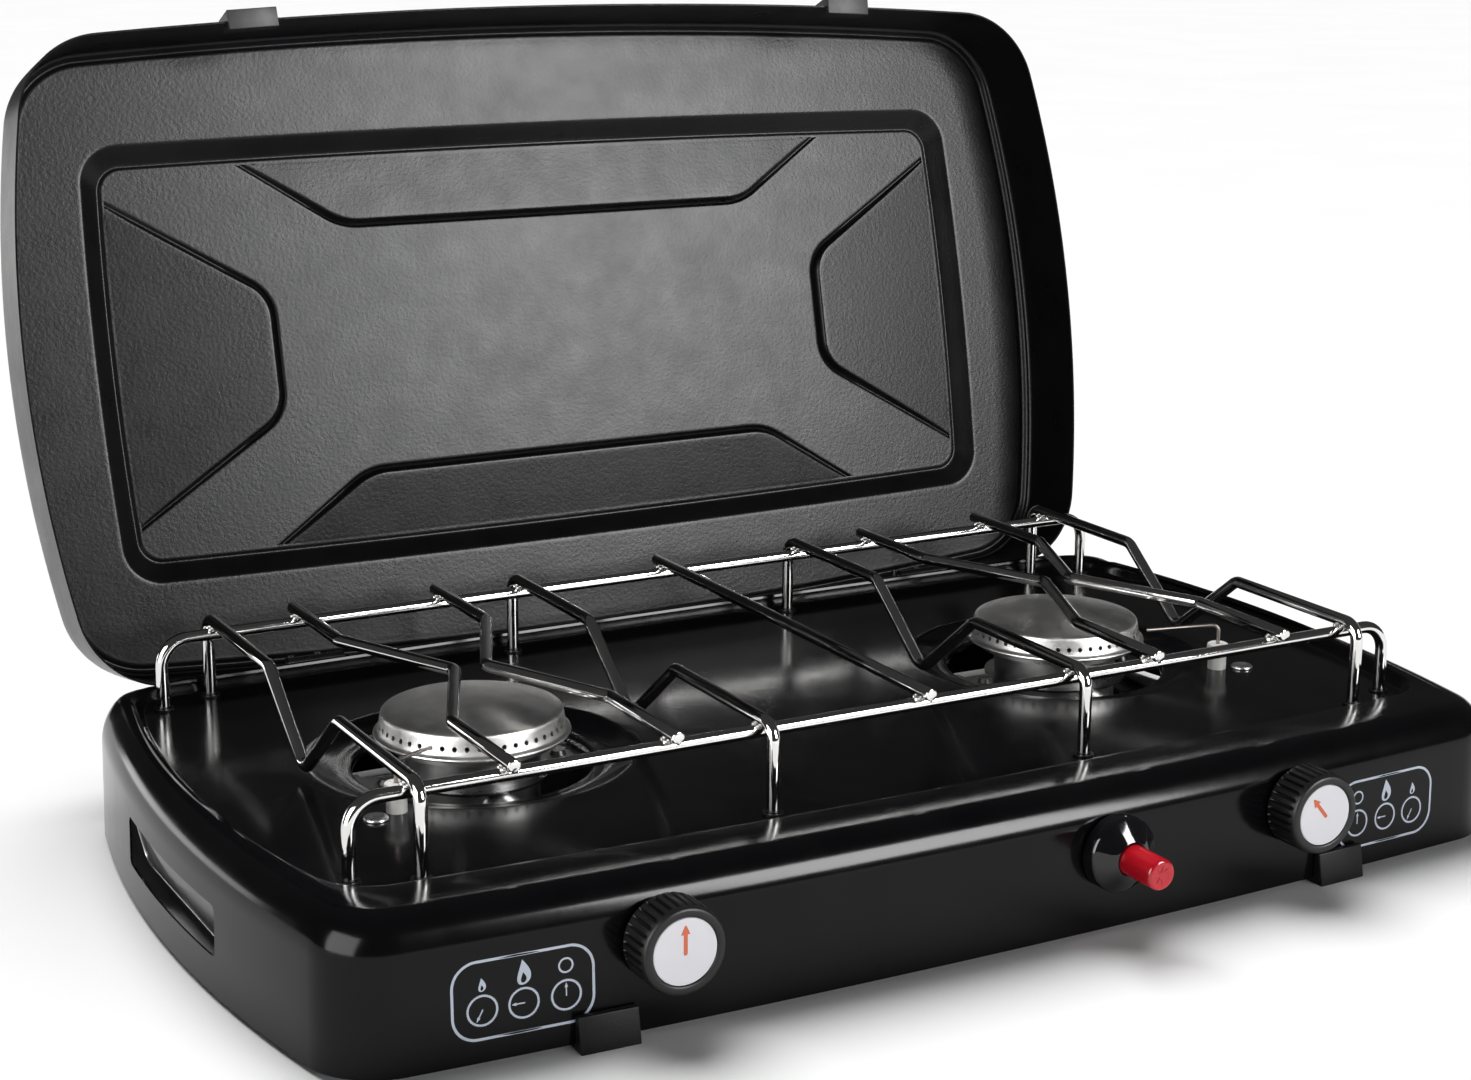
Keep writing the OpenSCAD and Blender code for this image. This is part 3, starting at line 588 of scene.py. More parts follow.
for sx, name in ((-1, "left"), (1, "right")):
    plate = []
    for k, back in ((0.0, 1.0), (0.0, 0.25), (0.004, 0.07), (0.012, 0.0), (0.04, 0.0),
                    (0.3, 0.0), (0.6, 0.0), (0.9, 0.0)):
        plate.append([grip_point(sx, y * (1 - k) + mid_y * k, z * (1 - k) + mid_z * k, back)
                      for y, z in rim_line])
    v, f = loft(plate, True, True, True)
    make(f"{name}_grip_sheet", v, f, MAT["grip_plate"], "base",
         (f"{name}_grip_plate",))
    # Painted highlight: the bright metal bead stands in for the light caught by the plate's edge
    highlight_path = [grip_point(sx, y, z, -0.1) for y, z in rim_line]
    v, f = tube(highlight_path + highlight_path[:1], 0.28, 0, 8, 1, 0.05)
    make(f"{name}_grip_painted_highlight", v, f, MAT["zinc_steel"], "base", sharp=60)

# ---------------------------------------------------------------- lid shell
lid_rim = outline(258.5, LID_FRONT, 140.75, 9, LID_BOW, LID_BOW, 38, nc=24, nx=80, ny=40)
band_out = outline(220, 96 - LID_MID, 96 + LID_MID, 2, 2, 2, 17, nc=24, nx=80, ny=40)
band_in = outline(211, 86.5 - LID_MID, 86.5 + LID_MID, 2, 2, 2, 10, nc=24, nx=80, ny=40)


# The lid's pressed panel: four raised facets leave an X between them. Each facet is a
# straight inner edge with rounded corners and two ends that run out to the panel's rim.
FACET_RISE = 2.4
LONG = {"rim": 85.0, "inner": 55.6, "corner": (102.0, 55.6), "end": (150.0, 87.5), "r": 28.0}
SHORT = {"rim": 209.5, "inner": 138.8, "corner": (26.2, 138.8), "end": (71.5, 212.0), "r": 18.0}


def facet_line(shape, n_arc=14, n_side=24):
    """Half contour of a facet as (along, across) points, from the middle to the rim."""
    ca, cb = shape["corner"]
    ea, eb = shape["end"]
    turn = math.atan2(eb - cb, ea - ca)
    r = shape["r"]
    cut_len = r * math.tan(turn / 2)
    pts = [((ca - cut_len) * i / n_side, cb) for i in range(n_side)]
    for i in range(n_arc + 1):
        a = turn * i / n_arc
        pts.append((ca - cut_len + r * math.sin(a), cb + r * (1 - math.cos(a))))
    sa, sb = pts[-1]
    ea, eb = ea + (ea - ca) * 0.06, eb + (eb - cb) * 0.06
    pts += [(sa + (ea - sa) * i / n_side, sb + (eb - sb) * i / n_side)
            for i in range(1, n_side + 1)]
    return pts


def facet_offset(shape, d):
    """The whole contour moved by d towards the X, as (along, across) points."""
    half = np.array(facet_line(shape))
    tangent = np.gradient(half, axis=0)
    tangent[0] = (1, 0)
    tangent /= np.linalg.norm(tangent, axis=1)[:, None]
    out = half + np.stack([tangent[:, 1], -tangent[:, 0]], 1) * d
    mirrored = out[::-1] * (-1, 1)
    return np.concatenate([mirrored[:-1], out])


# Section of the step, from the facet (negative) to the X: rounded brow, wall, small gutter
STEP = [(-4.0, 1.0), (-2.4, 1.0), (-1.8, 0.98), (-1.4, 0.93), (-1.05, 0.82), (-0.7, 0.55),
        (-0.35, 0.1), (0.0, -0.38), (0.35, -0.72), (0.7, -0.85), (1.05, -0.78), (1.4, -0.5),
        (1.7, -0.2), (2.0, -0.05), (2.4, 0.0), (3.2, 0.0)]


def stepped(shape, v, level):
    """The rise at a distance from the lid's middle line; the gutter keeps some depth."""
    share = max(0.0, min(1.0, (shape["rim"] - v) / (shape["rim"] - shape["inner"])))
    return level * (share if level > 0 else max(share, 0.4))


def level_near_rim(x, y):
    """Share of the facets' rise at a point close to the panel's rim."""
    best = 0.0
    for shape, a, v in ((LONG, abs(x), abs(y)), (SHORT, abs(y), abs(x))):
        ca, cb = shape["corner"]
        ea, eb = shape["end"]
        length = math.hypot(ea - ca, eb - cb)
        d = ((a - ca) * (eb - cb) - (v - cb) * (ea - ca)) / length
        if v > cb and d < STEP[-1][0]:
            level = float(np.interp(d, [q[0] for q in STEP], [q[1] for q in STEP]))
            best = stepped(shape, v, level) if abs(level) > abs(best) else best
    return best


DEPTH, PANEL_STEP = 37.0, 5.0
skirt = [(0.0, 0.0), (0.05, 0.4), (0.1, 2), (0.4, 10), (0.9, 22), (1.3, 30), (1.5, 33),
         (1.7, 34.3), (2.1, 35.0), (2.6, 35.25), (3.1, 35.4), (3.5, 35.9), (3.8, 36.8),
         (4.2, 37.7), (4.8, 38.2), (5.4, 38.1), (5.9, 37.6), (6.4, 37.15), (7.0, 36.95),
         (7.8, 37.0), (9.0, 37.0)]
rings = [ring_at(lid_rim, i, RIM_Z + d) for i, d in skirt]
flat_out = rings[-1]
flat_in = ring_at(band_out, -2.0, RIM_Z + DEPTH)
for t in (0.33, 0.66):
    rings.append(mix_ring(flat_out, flat_in, t, RIM_Z + DEPTH))
rings.append(flat_in)
for i, d in ((-1.0, 0.0), (-0.4, 0.06), (0.2, 0.25), (0.8, 0.6)):
    rings.append(ring_at(band_out, i, RIM_Z + DEPTH + d))
low = ring_at(band_in, -1.6, RIM_Z + DEPTH + 5.3)
top_ring = rings[-1]
for t in (0.35, 0.7, 0.92):
    z = RIM_Z + DEPTH + 0.6 + 4.7 * t
    rings.append(mix_ring(top_ring, low, t, z))
for i, d in ((-1.3, 5.45), (-0.9, 5.5), (-0.5, 5.42), (-0.1, 5.2), (0.35, 5.02), (0.9, 4.97),
             (1.5, 5.0)):
    rings.append(ring_at(band_in, i, RIM_Z + DEPTH + d))
edge = rings[-1]
verts, faces = loft(rings)


def panel_mesh(rim, z):
    """The panel inside a rim: facets, the X between them and the steps, in one mesh."""
    pts = [Vector((p[0], p[1])) for p in rim]
    edges = [(i, (i + 1) % len(rim)) for i in range(len(rim))]
    for inset in (0.8, 1.6):
        start = len(pts)
        pts += [Vector(p[:2]) for p in ring_at(band_in, 1.5 + inset, 0)]
        edges += [(i, i + 1) for i in range(start, len(pts) - 1)] + [(len(pts) - 1, start)]
    levels = {}
    for shape, long_side in ((LONG, True), (SHORT, False)):
        for sign in (-1, 1):
            for d, level in STEP:
                start = len(pts)
                for a, v in facet_offset(shape, d):
                    x, y = (a, sign * v) if long_side else (sign * v, a)
                    levels[len(pts)] = stepped(shape, v, level)
                    pts.append(Vector((x, y + LID_MID)))
                edges += [(i, i + 1) for i in range(start, len(pts) - 1)]
    out, _, tris, source, _, _ = delaunay_2d_cdt(pts, edges, [list(range(len(rim)))], 1, 1e-4)
    heights = []
    for p, ids in zip(out, source):
        known = [levels[k] for k in ids if k in levels]
        on_rim = any(k < len(rim) for k in ids)
        level = known[0] if known else 0.0 if on_rim else level_near_rim(p.x, p.y - LID_MID)
        heights.append(z - FACET_RISE * level)
    return [(p.x, p.y, h) for p, h in zip(out, heights)], [tuple(t) for t in tris]


v, f = panel_mesh(edge, RIM_Z + DEPTH + PANEL_STEP)
faces += [tuple(i + len(verts) for i in t) for t in f]
verts += v
lid = make("enamel_lid", verts, faces, MAT["lid_enamel"], "lid", ("lid_shell",),
           lid=True)


def weld_sheet(ob, thick):
    """Merges doubles, faces the sheet one way and gives it its thickness."""
    bm = bmesh.new()
    bm.from_mesh(ob.data)
    bmesh.ops.delete(bm, geom=[v for v in bm.verts if not v.link_faces], context="VERTS")
    bmesh.ops.remove_doubles(bm, verts=bm.verts, dist=2e-6)
    bmesh.ops.recalc_face_normals(bm, faces=bm.faces)
    inner_side = Vector((0, -1, 0))
    probe = min(bm.faces, key=lambda f: abs(f.calc_center_median().x)
                + abs(f.calc_center_median().z - .18))
    if probe.normal.dot(inner_side) < 0:
        bmesh.ops.reverse_faces(bm, faces=bm.faces)
    bm.to_mesh(ob.data)
    bm.free()
    mod = ob.modifiers.new("sheet", "SOLIDIFY")
    mod.thickness = thick / 1000
    mod.offset = -1
    bake(ob)
    smooth(ob, 50)


weld_sheet(lid, SHEET_T)

# ---------------------------------------------------------------- clips
CLIP_H, CLIP_DROP, CLIP_W = 12.8, 2.2, 22
clip_prof = rounded([(-0.1, CLIP_H - CLIP_DROP), (-2.6, CLIP_H - CLIP_DROP), (-5, -CLIP_DROP),
                     (3.4, -CLIP_DROP), (3.4, 6), (1.9, 6), (1.9, 0.0), (-0.1, 0.0)], 0.5, 3)


def clip_set(name, x_mid, ys, z0, mat, body, node, lid=False):
    """Clips on both halves; each y comes with the way it faces and the wall's slope there."""
    parts = []
    for sx in (-1, 1):
        for y, face, slope in ys:
            parts.append(prism(clip_prof, lambda x, a, b, sx=sx, y=y, face=face, slope=slope:
                               (sx * x_mid + x - a * face * slope * sx,
                                y + a * face + x * slope * sx, z0 + b), CLIP_W))
    v, f = join(*parts)
    make(name, v, f, mat, body, (node,), lid=lid, sharp=40)


def bow(x, depth, rise, half):
    """Place and slope of a bowed wall at a distance from the middle."""
    return depth - rise * (x / half) ** 2, 2 * rise * x / half ** 2


FOOT_X, LID_CLIP_X, CLIP_GAP = 158.5, 147, 0.3
BODY_BOW_X, LID_BOW_X = 226, 211.5
y_front, lean_front = bow(FOOT_X, BODY_FRONT, FRONT_BOW, BODY_BOW_X)
y_rear, lean_rear = bow(FOOT_X, BODY_REAR, REAR_BOW, BODY_BOW_X)
y_lid, lean_lid = bow(LID_CLIP_X, LID_FRONT, LID_BOW, LID_BOW_X)
clip_set("foot_clip_set", FOOT_X, ((-y_front - CLIP_GAP, 1, lean_front),
                                   (y_rear + CLIP_GAP, -1, -lean_rear)), -WALL_H,
         MAT["clip_plastic"], "base", "foot_clips")
clip_set("lid_clip_set", LID_CLIP_X, ((-y_lid - CLIP_GAP, 1, lean_lid),), RIM_Z,
         MAT["lid_clip_plastic"], "lid", "lid_clips", lid=True)

# ---------------------------------------------------------------- grate
WIRE = 2.5
BAR_Z = 33.6
RAIL_Z = BAR_Z - 5 + 0.3
RAIL_Y = 105.0
POST_X = 226.9
LEG_Y, FREE_Y, NOTCH_Y, NOTCH_Z, BEND_Y = 114.2, 111.8, 37.8, 3.6, 57.5
POST_FOOT = -7
RAIL_BEND, BAR_BEND = 11, 7
NOTCHED = {"bar_1": -204.5, "bar_4": -68.8, "bar_6": 68.8, "bar_9": 204.5}
BENT = {"bar_2": (-168.8, -143.7), "bar_3": (-105.8, -130.7),
        "bar_7": (105.8, 130.7), "bar_8": (168.8, 143.7)}


def rod(name, pts, bend):
    """One wire of the grate, with bends of one radius."""
    v, f = tube(pts, WIRE, bend, 28, 10)
    make("wire_" + name, v, f, MAT["wire_chrome"], "grate", (name,), sharp=60)


for s, name in ((-1, "front_rail"), (1, "rear_rail")):
    rod(name, [(-POST_X, s * RAIL_Y, POST_FOOT), (-POST_X, s * RAIL_Y, RAIL_Z),
               (POST_X, s * RAIL_Y, RAIL_Z), (POST_X, s * RAIL_Y, POST_FOOT)], RAIL_BEND)
for name, x in NOTCHED.items():
    rod(name, [(x, -LEG_Y, POST_FOOT), (x, -LEG_Y, BAR_Z), (x, -NOTCH_Y, BAR_Z),
               (x, 0, NOTCH_Z), (x, NOTCH_Y, BAR_Z), (x, LEG_Y, BAR_Z),
               (x, LEG_Y, POST_FOOT)], BAR_BEND)
for name, (x, ax) in BENT.items():
    rod(name, [(x, -FREE_Y, BAR_Z), (x, -BEND_Y, BAR_Z), (ax, 0, BAR_Z), (x, BEND_Y, BAR_Z),
               (x, FREE_Y, BAR_Z)], BAR_BEND)
rod("bar_5", [(0, -FREE_Y, BAR_Z), (0, FREE_Y, BAR_Z)], 0)

# Two beads on each side of every crossing of a bar and a rail
BEAD = [(0.1, -1.2), (0.8, -0.8), (1.15, 0.0), (0.8, 0.8), (0.1, 1.2)]
beads = []
for x in (-204.5, -168.8, -105.8, -68.8, 0, 68.8, 105.8, 168.8, 204.5):
    for s in (-1, 1):
        for side in (-1, 1):
            for end in (-1, 1):
                c = (x + side * 1.9, s * RAIL_Y + end * 1.7, BAR_Z - 2.45)
                beads.append(revolve(BEAD, c, (1, 0.2, 0.5 * side), 10))
v, f = join(*beads)
make("weld_beads", v, f, MAT["weld"], "grate", sharp=80)

# ---------------------------------------------------------------- burners
cap_top = [(0.01, 21.5), (6, 21.45), (12, 21.2), (18, 20.7), (24, 19.9), (29, 19.0), (32, 18.4),
           (33.6, 18.0), (34.4, 17.65), (34.9, 17.2), (35.1, 16.6), (35.3, 15.6), (35.8, 12.6),
           (36.3, 10.6), (36.8, 9.9), (37.4, 9.6), (37.9, 9.3), (38.05, 8.8), (37.8, 8.3),
           (37.2, 8.0), (36.2, 8.0), (35.4, 8.4), (35.0, 9.4), (34.3, 13.4), (33.9, 16.2),
           (30, 17.4), (20, 18.8), (0.01, 19.8)]
PORTS, PORT_R, PORT_Z = 48, 0.95, 17.0
for sx, side in ((-1, "left"), (1, "right")):
    v, f = revolve(cap_top, (sx * BURNER_X, 0, 0), n=2 * ROUND)
    cap = make(f"{side}_cap", v, f, MAT["cap_aluminium"], "base",
               (f"{side}_burner_cap",), sharp=35)
    ports = []
    for i in range(PORTS):
        a = 2 * math.pi * (i + 0.5) / PORTS
        d = (math.cos(a), math.sin(a), -0.12)
        prof = [(PORT_R, 31.5), (PORT_R, 39.5)]
        ports.append(revolve(prof, (sx * BURNER_X, 0, PORT_Z), d, 14))
    cut(cap, ports)
    smooth(cap, 35)

# ---------------------------------------------------------------- knobs
RIBS = 32
KNOB_BACK, KNOB_FACE, DISC_FACE = 161.4, 176.5, 176.17
GRIP_INNER_R, RIB_DEPTH = 13, 1.25
RIGHT_TURN = math.radians(40)


def knob_radius(r, h, a):
    """Ribs stand out of the grip and fade towards the front ring."""
    if r < GRIP_INNER_R:
        return r
    depth = max(0.0, min(1.0, (KNOB_FACE - 2.0 - h) / 1.2))
    depth *= max(0.0, min(1.0, (h - KNOB_BACK) / .6))
    wave = abs(math.cos(a * RIBS / 2))
    rib = min(1.0, max(0.0, (wave - 0.35) / 0.35))
    rib = rib * rib * (3 - 2 * rib)
    return r - depth * (1 - rib) * RIB_DEPTH


knob_prof = [(3.2, 163), (13.6, 163), (14.2, 161.6), (15.6, 161.4), (15.9, 161.8), (16, 162.4),
             (16, 164), (16, 168), (16, 172), (15.95, 173.4), (15.8, 174.2), (15.6, 174.8),
             (15.45, 175.4), (15.2, 176.0), (14.8, 176.35), (14.3, 176.5), (13.2, 176.5),
             (12.5, 176.42), (12.2, 176.2), (12.1, 175.9), (12.0, 175.4), (4, 175.4)]
disc_prof = [(0.01, 175.3), (11.5, 175.3), (11.9, 175.5), (11.95, 175.8), (11.8, 176.05),
             (11.5, 176.15), (11.2, 176.17), (9, 176.17), (5, 176.17), (0.01, 176.17)]


def flat_shape(loops, place, thick=0.06):
    """Thin printed shape: an outer loop and holes, as a raised sheet with sides."""
    flat = tessellate_polygon([[Vector((*p, 0)) for p in loop] for loop in loops])
    pts = [p for loop in loops for p in loop]
    n = len(pts)
    verts = [place(p[0], p[1], thick) for p in pts] + [place(p[0], p[1], 0.0) for p in pts]
    faces = [tuple(t) for t in flat] + [tuple(reversed([i + n for i in t])) for t in flat]
    start = 0
    for loop in loops:
        m = len(loop)
        for i in range(m):
            a, b = start + i, start + (i + 1) % m
            faces.append((a, b, b + n, a + n))
        start += m
    return verts, faces


arrow = [(-0.75, -0.6), (-0.5, -1.2), (0.5, -1.2), (0.75, -0.6), (0.75, 6.2), (1.75, 6.0),
         (1.3, 7.2), (0.2, 9.4), (-0.2, 9.4), (-1.3, 7.2), (-1.75, 6.0), (-0.75, 6.2)]
arrow = rounded(arrow, 0.3, 2)
for sx, side, turn in ((-1, "left", 0.0), (1, "right", RIGHT_TURN)):
    body = f"{side}_tap"
    centre = (sx * BURNER_X, 0, TAP_Z)
    v, f = revolve(knob_prof, centre, (0, -1, 0), RIBS * 12, knob_radius, (False, False))
    make(f"{side}_knob_grip", v, f, MAT["knob_plastic"], body,
         (f"{side}_knob",), sharp=50)
    v, f = revolve(disc_prof, centre, (0, -1, 0), 96)
    make(f"{side}_knob_plate", v, f, MAT["disc_plastic"], body,
         (f"{side}_knob_disc",), sharp=40)

    def on_disc(a, b, t, sx=sx, turn=turn):
        c, s = math.cos(turn), math.sin(turn)
        return (sx * BURNER_X + a * c - b * s, -DISC_FACE - t, TAP_Z + a * s + b * c)

    v, f = flat_shape([arrow], on_disc)
    make(f"{side}_knob_arrow", v, f, MAT["arrow_ink"], body)

# ---------------------------------------------------------------- igniter
bezel = [(8.9, 160.5), (8.9, 163.0), (14.2, 163.0), (14.5, 163.4), (14.55, 164), (14.5, 168.0),
         (14.3, 168.7), (13.9, 169.2), (13.4, 169.6), (11.5, 171.0), (9.2, 172.7), (7.2, 174.0),
         (6.6, 174.2), (6.15, 174.0), (6.0, 173.4), (6.0, 165)]
v, f = revolve(bezel, (IGN_X, 0, IGN_Z), (0, -1, 0), 128, cap=(False, False))
make("igniter_cone", v, f, MAT["bezel_plastic"], "base", ("igniter_bezel",),
     sharp=38)
button = [(0.01, 148), (5.9, 148), (5.9, 170), (5.9, 189.9), (5.75, 190.7), (5.4, 191.2),
          (4.9, 191.45), (4.4, 191.5), (3.6, 191.42), (2.0, 191.4), (0.01, 191.4)]
v, f = revolve(button, (IGN_X, 0, IGN_Z), (0, -1, 0), 96)
make("igniter_push", v, f, MAT["button_plastic"], "igniter",
     ("igniter_button",), sharp=45)
STAR_TIP, STAR_NECK, STAR_POINTS, STAR_Y, STAR_RISE = 3.4, 1.25, 8, -191.38, 0.22
star = []
for i in range(2 * STAR_POINTS):
    r = STAR_TIP if i % 2 == 0 else STAR_NECK
    a = math.pi / 2 + 2 * math.pi * i / (2 * STAR_POINTS)
    star.append((r * math.cos(a), r * math.sin(a)))
v, f = flat_shape([star], lambda a, b, t: (IGN_X + a, STAR_Y - t, IGN_Z + b), STAR_RISE)
make("igniter_star", v, f, MAT["button_plastic"], "igniter", sharp=20)

# ---------------------------------------------------------------- electrodes
ceramic = [(0.85, -12), (3.7, -12), (3.9, -11.6), (3.9, 0), (3.9, 7.6), (4.1, 8.0), (4.45, 8.3),
           (4.5, 8.8), (4.5, 10.2), (4.3, 10.8), (3.8, 11.1), (2.0, 11.15), (1.1, 11.0),
           (0.85, 10.6)]
rivet = [(0.01, -3), (1.9, -3), (1.9, 0.05), (4.5, 0.1), (4.65, 0.4), (4.5, 0.9), (4.0, 1.35),
         (3.2, 1.6), (2.4, 1.55), (1.9, 1.2), (1.4, 0.9), (0.01, 0.85)]
PIN_R, PIN_FOOT, KNEE_Z, TIP_Z = 0.8, -14, 19.3, 14.3
CAP_R, SPARK_GAP = 38, 1.5
RIVET_X, RIVET_Y = 197.2, -53
to_burner = math.hypot(BURNER_X - SPARK_X, -SPARK_Y)
reach = to_burner - CAP_R - SPARK_GAP
rivets = []
for sx, side in ((-1, "left"), (1, "right")):
    v, f = revolve(ceramic, (sx * SPARK_X, SPARK_Y, 0), n=ROUND // 2, cap=(False, False))
    make(f"{side}_spark_post", v, f, MAT["ceramic"], "base",
         (f"{side}_electrode_ceramic",), sharp=40)
    knee = (sx * SPARK_X, SPARK_Y, KNEE_Z)
    tip = (sx * (SPARK_X + (BURNER_X - SPARK_X) / to_burner * reach),
           SPARK_Y - SPARK_Y / to_burner * reach, TIP_Z)
    v, f = tube([(sx * SPARK_X, SPARK_Y, PIN_FOOT), knee, tip], PIN_R, 2.5, 14, 6, 0.2)
    make(f"{side}_spark_pin", v, f, MAT["electrode_alloy"], "base",
         (f"{side}_electrode_wire",), sharp=60)
    rivets.append(revolve(rivet, (sx * RIVET_X, RIVET_Y, 0), n=ROUND // 2))
v, f = join(*rivets)
make("pan_rivets", v, f, MAT["zinc_steel"], "base", ("electrode_rivets",),
     sharp=50)

# ---------------------------------------------------------------- printed marks
def front_wall(x, z):
    """Where the front panel's outer face lies."""
    y = -BODY_FRONT + FRONT_BOW * (x / BODY_BOW_X) ** 2
    y += wall_draft(z)
    up = max(0.0, z - (CREST - ROLL_H)) / ROLL_H
    return y + ROLL_WIDE * (1 - math.sqrt(max(0.0, 1 - up * up)))


def on_front(a, b, t):
    """Places a print just proud of the front wall."""
    return (a, front_wall(a, b) - 0.02 - t, b)


def ring_loops(cx, cz, r_out, r_in, teeth=0, n=72):
    """Flat ring as an outer and an inner loop; teeth make its edge slightly uneven."""
    out = []
    for i in range(n):
        a = 2 * math.pi * i / n
        rr = r_out + (0.13 * math.cos(teeth * a) if teeth else 0)
        out.append((cx + rr * math.cos(a), cz + rr * math.sin(a)))
    inn = [(cx + r_in * math.cos(-2 * math.pi * i / n), cz + r_in * math.sin(-2 * math.pi * i / n))
           for i in range(n)]
    return [out, inn]


def flame(cx, cz, h):
    """Drop-shaped flame with a smaller drop cut out of it."""
    def drop(w, hh, base):
        pts = []
        for i in range(40):
            t = i / 40 * 2 * math.pi
            x = w * math.sin(t) * math.sin(t / 2) ** 1.3
            z = hh * 0.5 * (1 + math.cos(t))
            lean = 0.22 * w * math.sin(math.pi * z / hh)
            pts.append((cx + x + lean - 0.1 * w, base + z))
        return pts
    return [drop(h * 0.37, h, cz), drop(h * 0.15, h * 0.42, cz + h * 0.08)[::-1]]


def pointer(cx, cz, deg, r=4.6):
    """Short arrow from a dial's middle, turned by deg."""
    a = math.radians(deg)
    base = [(-0.22, -0.4), (0.22, -0.4), (0.22, r - 1.9), (0.62, r - 1.9), (0, r - 0.2),
            (-0.62, r - 1.9), (-0.22, r - 1.9)]
    c, s = math.cos(a), math.sin(a)
    return [[(cx + p[0] * c - p[1] * s, cz + p[0] * s + p[1] * c) for p in base]]


def frame_loops(cx, cz, w, h, r, line):
    """Rounded frame of one line width, as an outer and an inner loop."""
    def rounded_box(w, h, r):
        pts = []
        for qx, qz, a0 in ((1, 1, 0), (-1, 1, 90), (-1, -1, 180), (1, -1, 270)):
            for i in range(13):
                a = math.radians(a0 + 90 * i / 12)
                pts.append((cx + qx * (w / 2 - r) + r * math.cos(a),
                            cz + qz * (h / 2 - r) + r * math.sin(a)))
        return pts

    def fill(pts):
        """Extra points along the straight runs, so that the print follows the bowed wall."""
        res = []
        for p, q in zip(pts, pts[1:] + pts[:1]):
            m = max(1, int(math.dist(p, q) / 3))
            res += [(p[0] + (q[0] - p[0]) * k / m, p[1] + (q[1] - p[1]) * k / m)
                    for k in range(m)]
        return res

    inner = rounded_box(w - 2 * line, h - 2 * line, r - line)[::-1]
    return [fill(rounded_box(w, h, r)), fill(inner)]


LABEL_X, LABEL_SHIFT, LABEL_Z = 186.0, -1.2, -27.2
LABEL_W, LABEL_H, LABEL_R, LABEL_LINE = 50.6, 28, 9, 0.95
DIAL_Z, DIAL_R, DIAL_IN = -30.8, 5.5, 4.75
OFF_RING = (-20.4, 2.75, 2.1)
BIG_FLAME, SMALL_FLAME = (-24.4, 8.9), (-24.2, 4.8)
DIALS = ((171.0, "ring", 0), (186.0, "big", 90), (200.5, "small", 151))
for sx, side in ((-1, "left"), (1, "right")):
    parts = [flat_shape(frame_loops(sx * LABEL_X + LABEL_SHIFT, LABEL_Z, LABEL_W, LABEL_H,
                                    LABEL_R, LABEL_LINE), on_front)]
    for d, kind, angle in DIALS:
        x = sx * d + LABEL_SHIFT
        parts.append(flat_shape(ring_loops(x, DIAL_Z, DIAL_R, DIAL_IN, 36, 180), on_front))
        parts.append(flat_shape(pointer(x, DIAL_Z, angle), on_front))
        if kind == "ring":
            loops = ring_loops(x, *OFF_RING)
        else:
            loops = flame(x, *(BIG_FLAME if kind == "big" else SMALL_FLAME))
        parts.append(flat_shape(loops, on_front))
    v, f = join(*parts)
    make(f"{side}_dial_print", v, f, MAT["print_ink"], "base", sharp=30)

# ---------------------------------------------------------------- camera and light
FLOOR_R = 12.0
floor_me = bpy.data.meshes.new("floor")
floor_me.from_pydata([(-FLOOR_R, -FLOOR_R, 0), (FLOOR_R, -FLOOR_R, 0), (FLOOR_R, FLOOR_R, 0),
                      (-FLOOR_R, FLOOR_R, 0)], [], [(0, 1, 2, 3)])
floor = bpy.data.objects.new("floor", floor_me)
bpy.context.scene.collection.objects.link(floor)
m = Nodes("pale_floor")
m.link(m.blend(m.span(m.noise(4, 3), 0, 1), (.88, .88, .88), (.90, .90, .90)),
       m.bsdf.inputs["Base Color"])
m.bsdf.inputs["Roughness"].default_value = 0.9
m.bsdf.inputs["Specular IOR Level"].default_value = 0.1
floor_me.materials.append(m.mat)
floor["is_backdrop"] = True

cam_data = bpy.data.cameras.new("camera")
cam_data.sensor_width = 36.0
cam_data.lens = 63.52
cam_data.clip_start = 0.05
cam_data.clip_end = 50
camera = bpy.data.objects.new("camera", cam_data)
bpy.context.scene.collection.objects.link(camera)
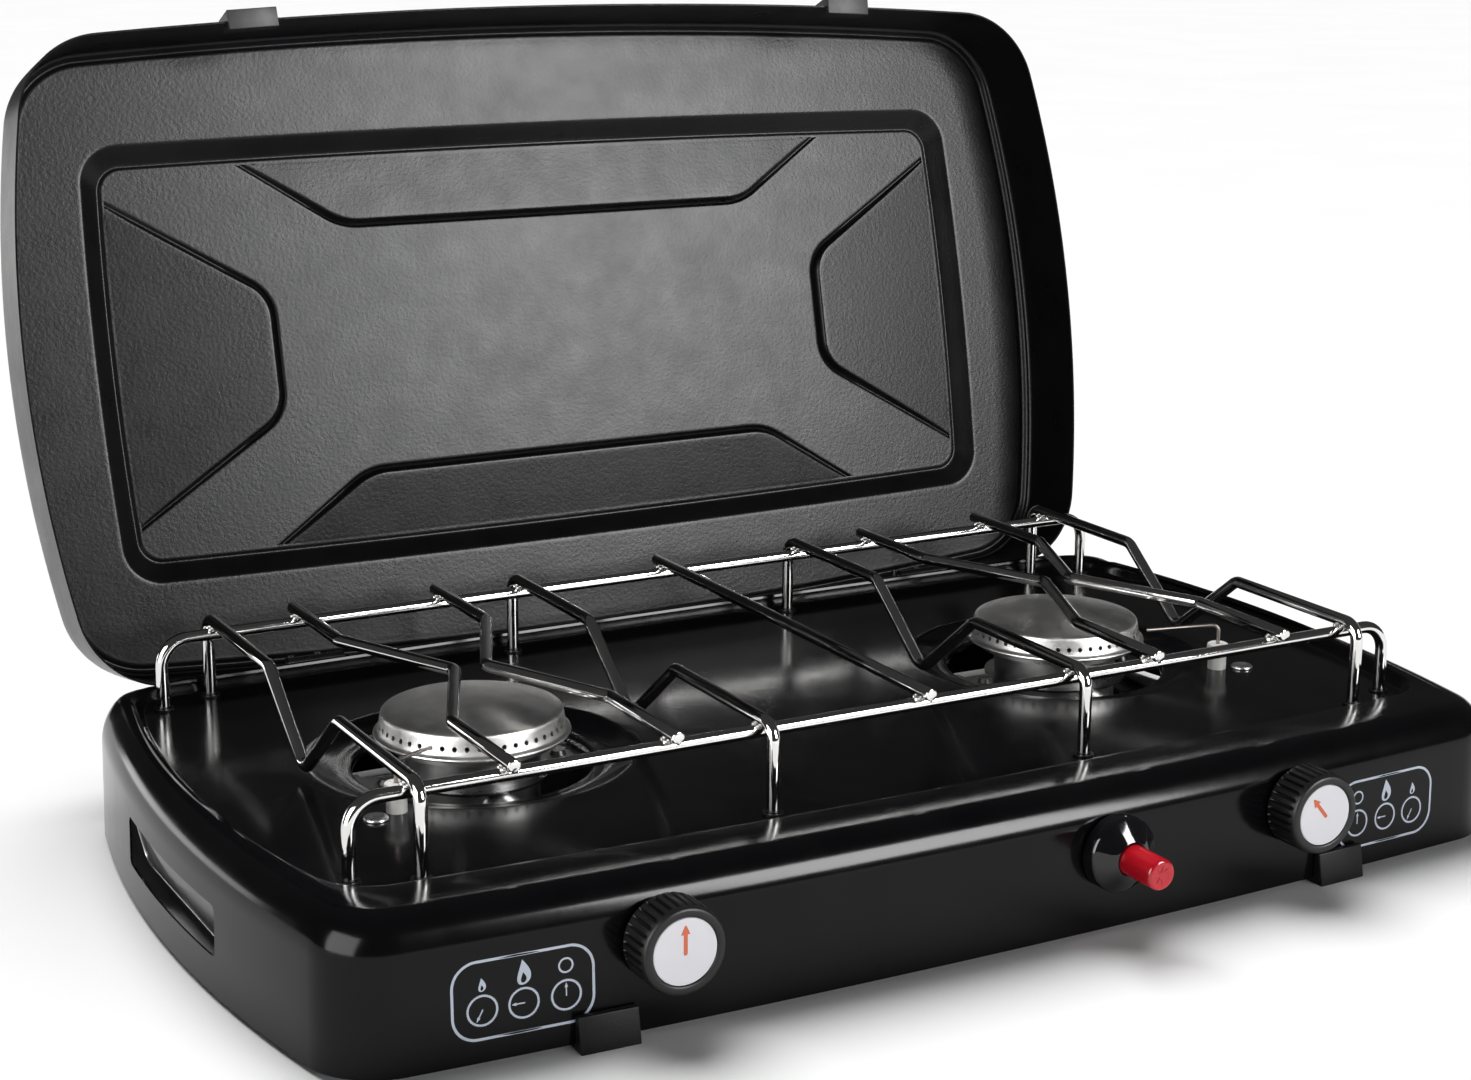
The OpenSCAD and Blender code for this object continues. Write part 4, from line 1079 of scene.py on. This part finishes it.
bpy.context.scene.camera = camera
eye = Vector(to_frame((-508.1, -879.2, 328.6)))
aim = Vector(to_frame((-21.8, 0.0, 70.3)))
ROLL_DEG = 0.367
look = (aim - eye).to_track_quat("-Z", "Y").to_matrix().to_4x4()
roll = Matrix.Rotation(math.radians(ROLL_DEG), 4, "Z")
camera.matrix_world = Matrix.Translation(eye) @ look @ roll


def area(name, place, target, size, radiance):
    """Softbox of one brightness; its power follows from its size."""
    data = bpy.data.lights.new(name, "AREA")
    data.shape = "RECTANGLE"
    data.size, data.size_y = size
    data.energy = radiance * math.pi * size[0] * size[1]
    ob = bpy.data.objects.new(name, data)
    ob.visible_camera = False
    bpy.context.scene.collection.objects.link(ob)
    p = Vector(place)
    turn = (Vector(target) - p).to_track_quat("-Z", "Y").to_matrix().to_4x4()
    ob.matrix_world = Matrix.Translation(p) @ turn
    return ob


sun_data = bpy.data.lights.new("overhead", "SUN")
sun_data.energy = 4.0
sun_data.angle = math.radians(50)
sun = bpy.data.objects.new("overhead", sun_data)
bpy.context.scene.collection.objects.link(sun)
sun.visible_glossy = False
sun.rotation_euler = Vector((0.0, -0.50, -0.86)).to_track_quat("-Z", "Y").to_euler()

gloss = area("lid_soft", (1.06, -1.9, 1.05), (0, 0.15, 0.15), (0.85, 1.1), 30.0)
gloss.visible_diffuse = False
fill = area("front_fill", (0.3, -2.2, 0.4), (0, 0, 0.05), (1.8, 0.5), 8.0)
fill.visible_glossy = False
area("left_back_soft", (-1.35, 2.05, .15), (-.25, .12, .15), (1.2, .3), 4.0)
corner = area("corner_soft", (-2.0, -0.6, 0.75), (-0.25, -0.1, 0.05), (1.6, 1.5), 8.0)
corner.visible_diffuse = False

world = bpy.data.worlds.new("studio")
bpy.context.scene.world = world
world.use_nodes = True
world.node_tree.nodes["Background"].inputs["Color"].default_value = (1, 1, 1, 1)
world.node_tree.nodes["Background"].inputs["Strength"].default_value = 0.04
bpy.context.scene.view_settings.view_transform = "Standard"

low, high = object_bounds()
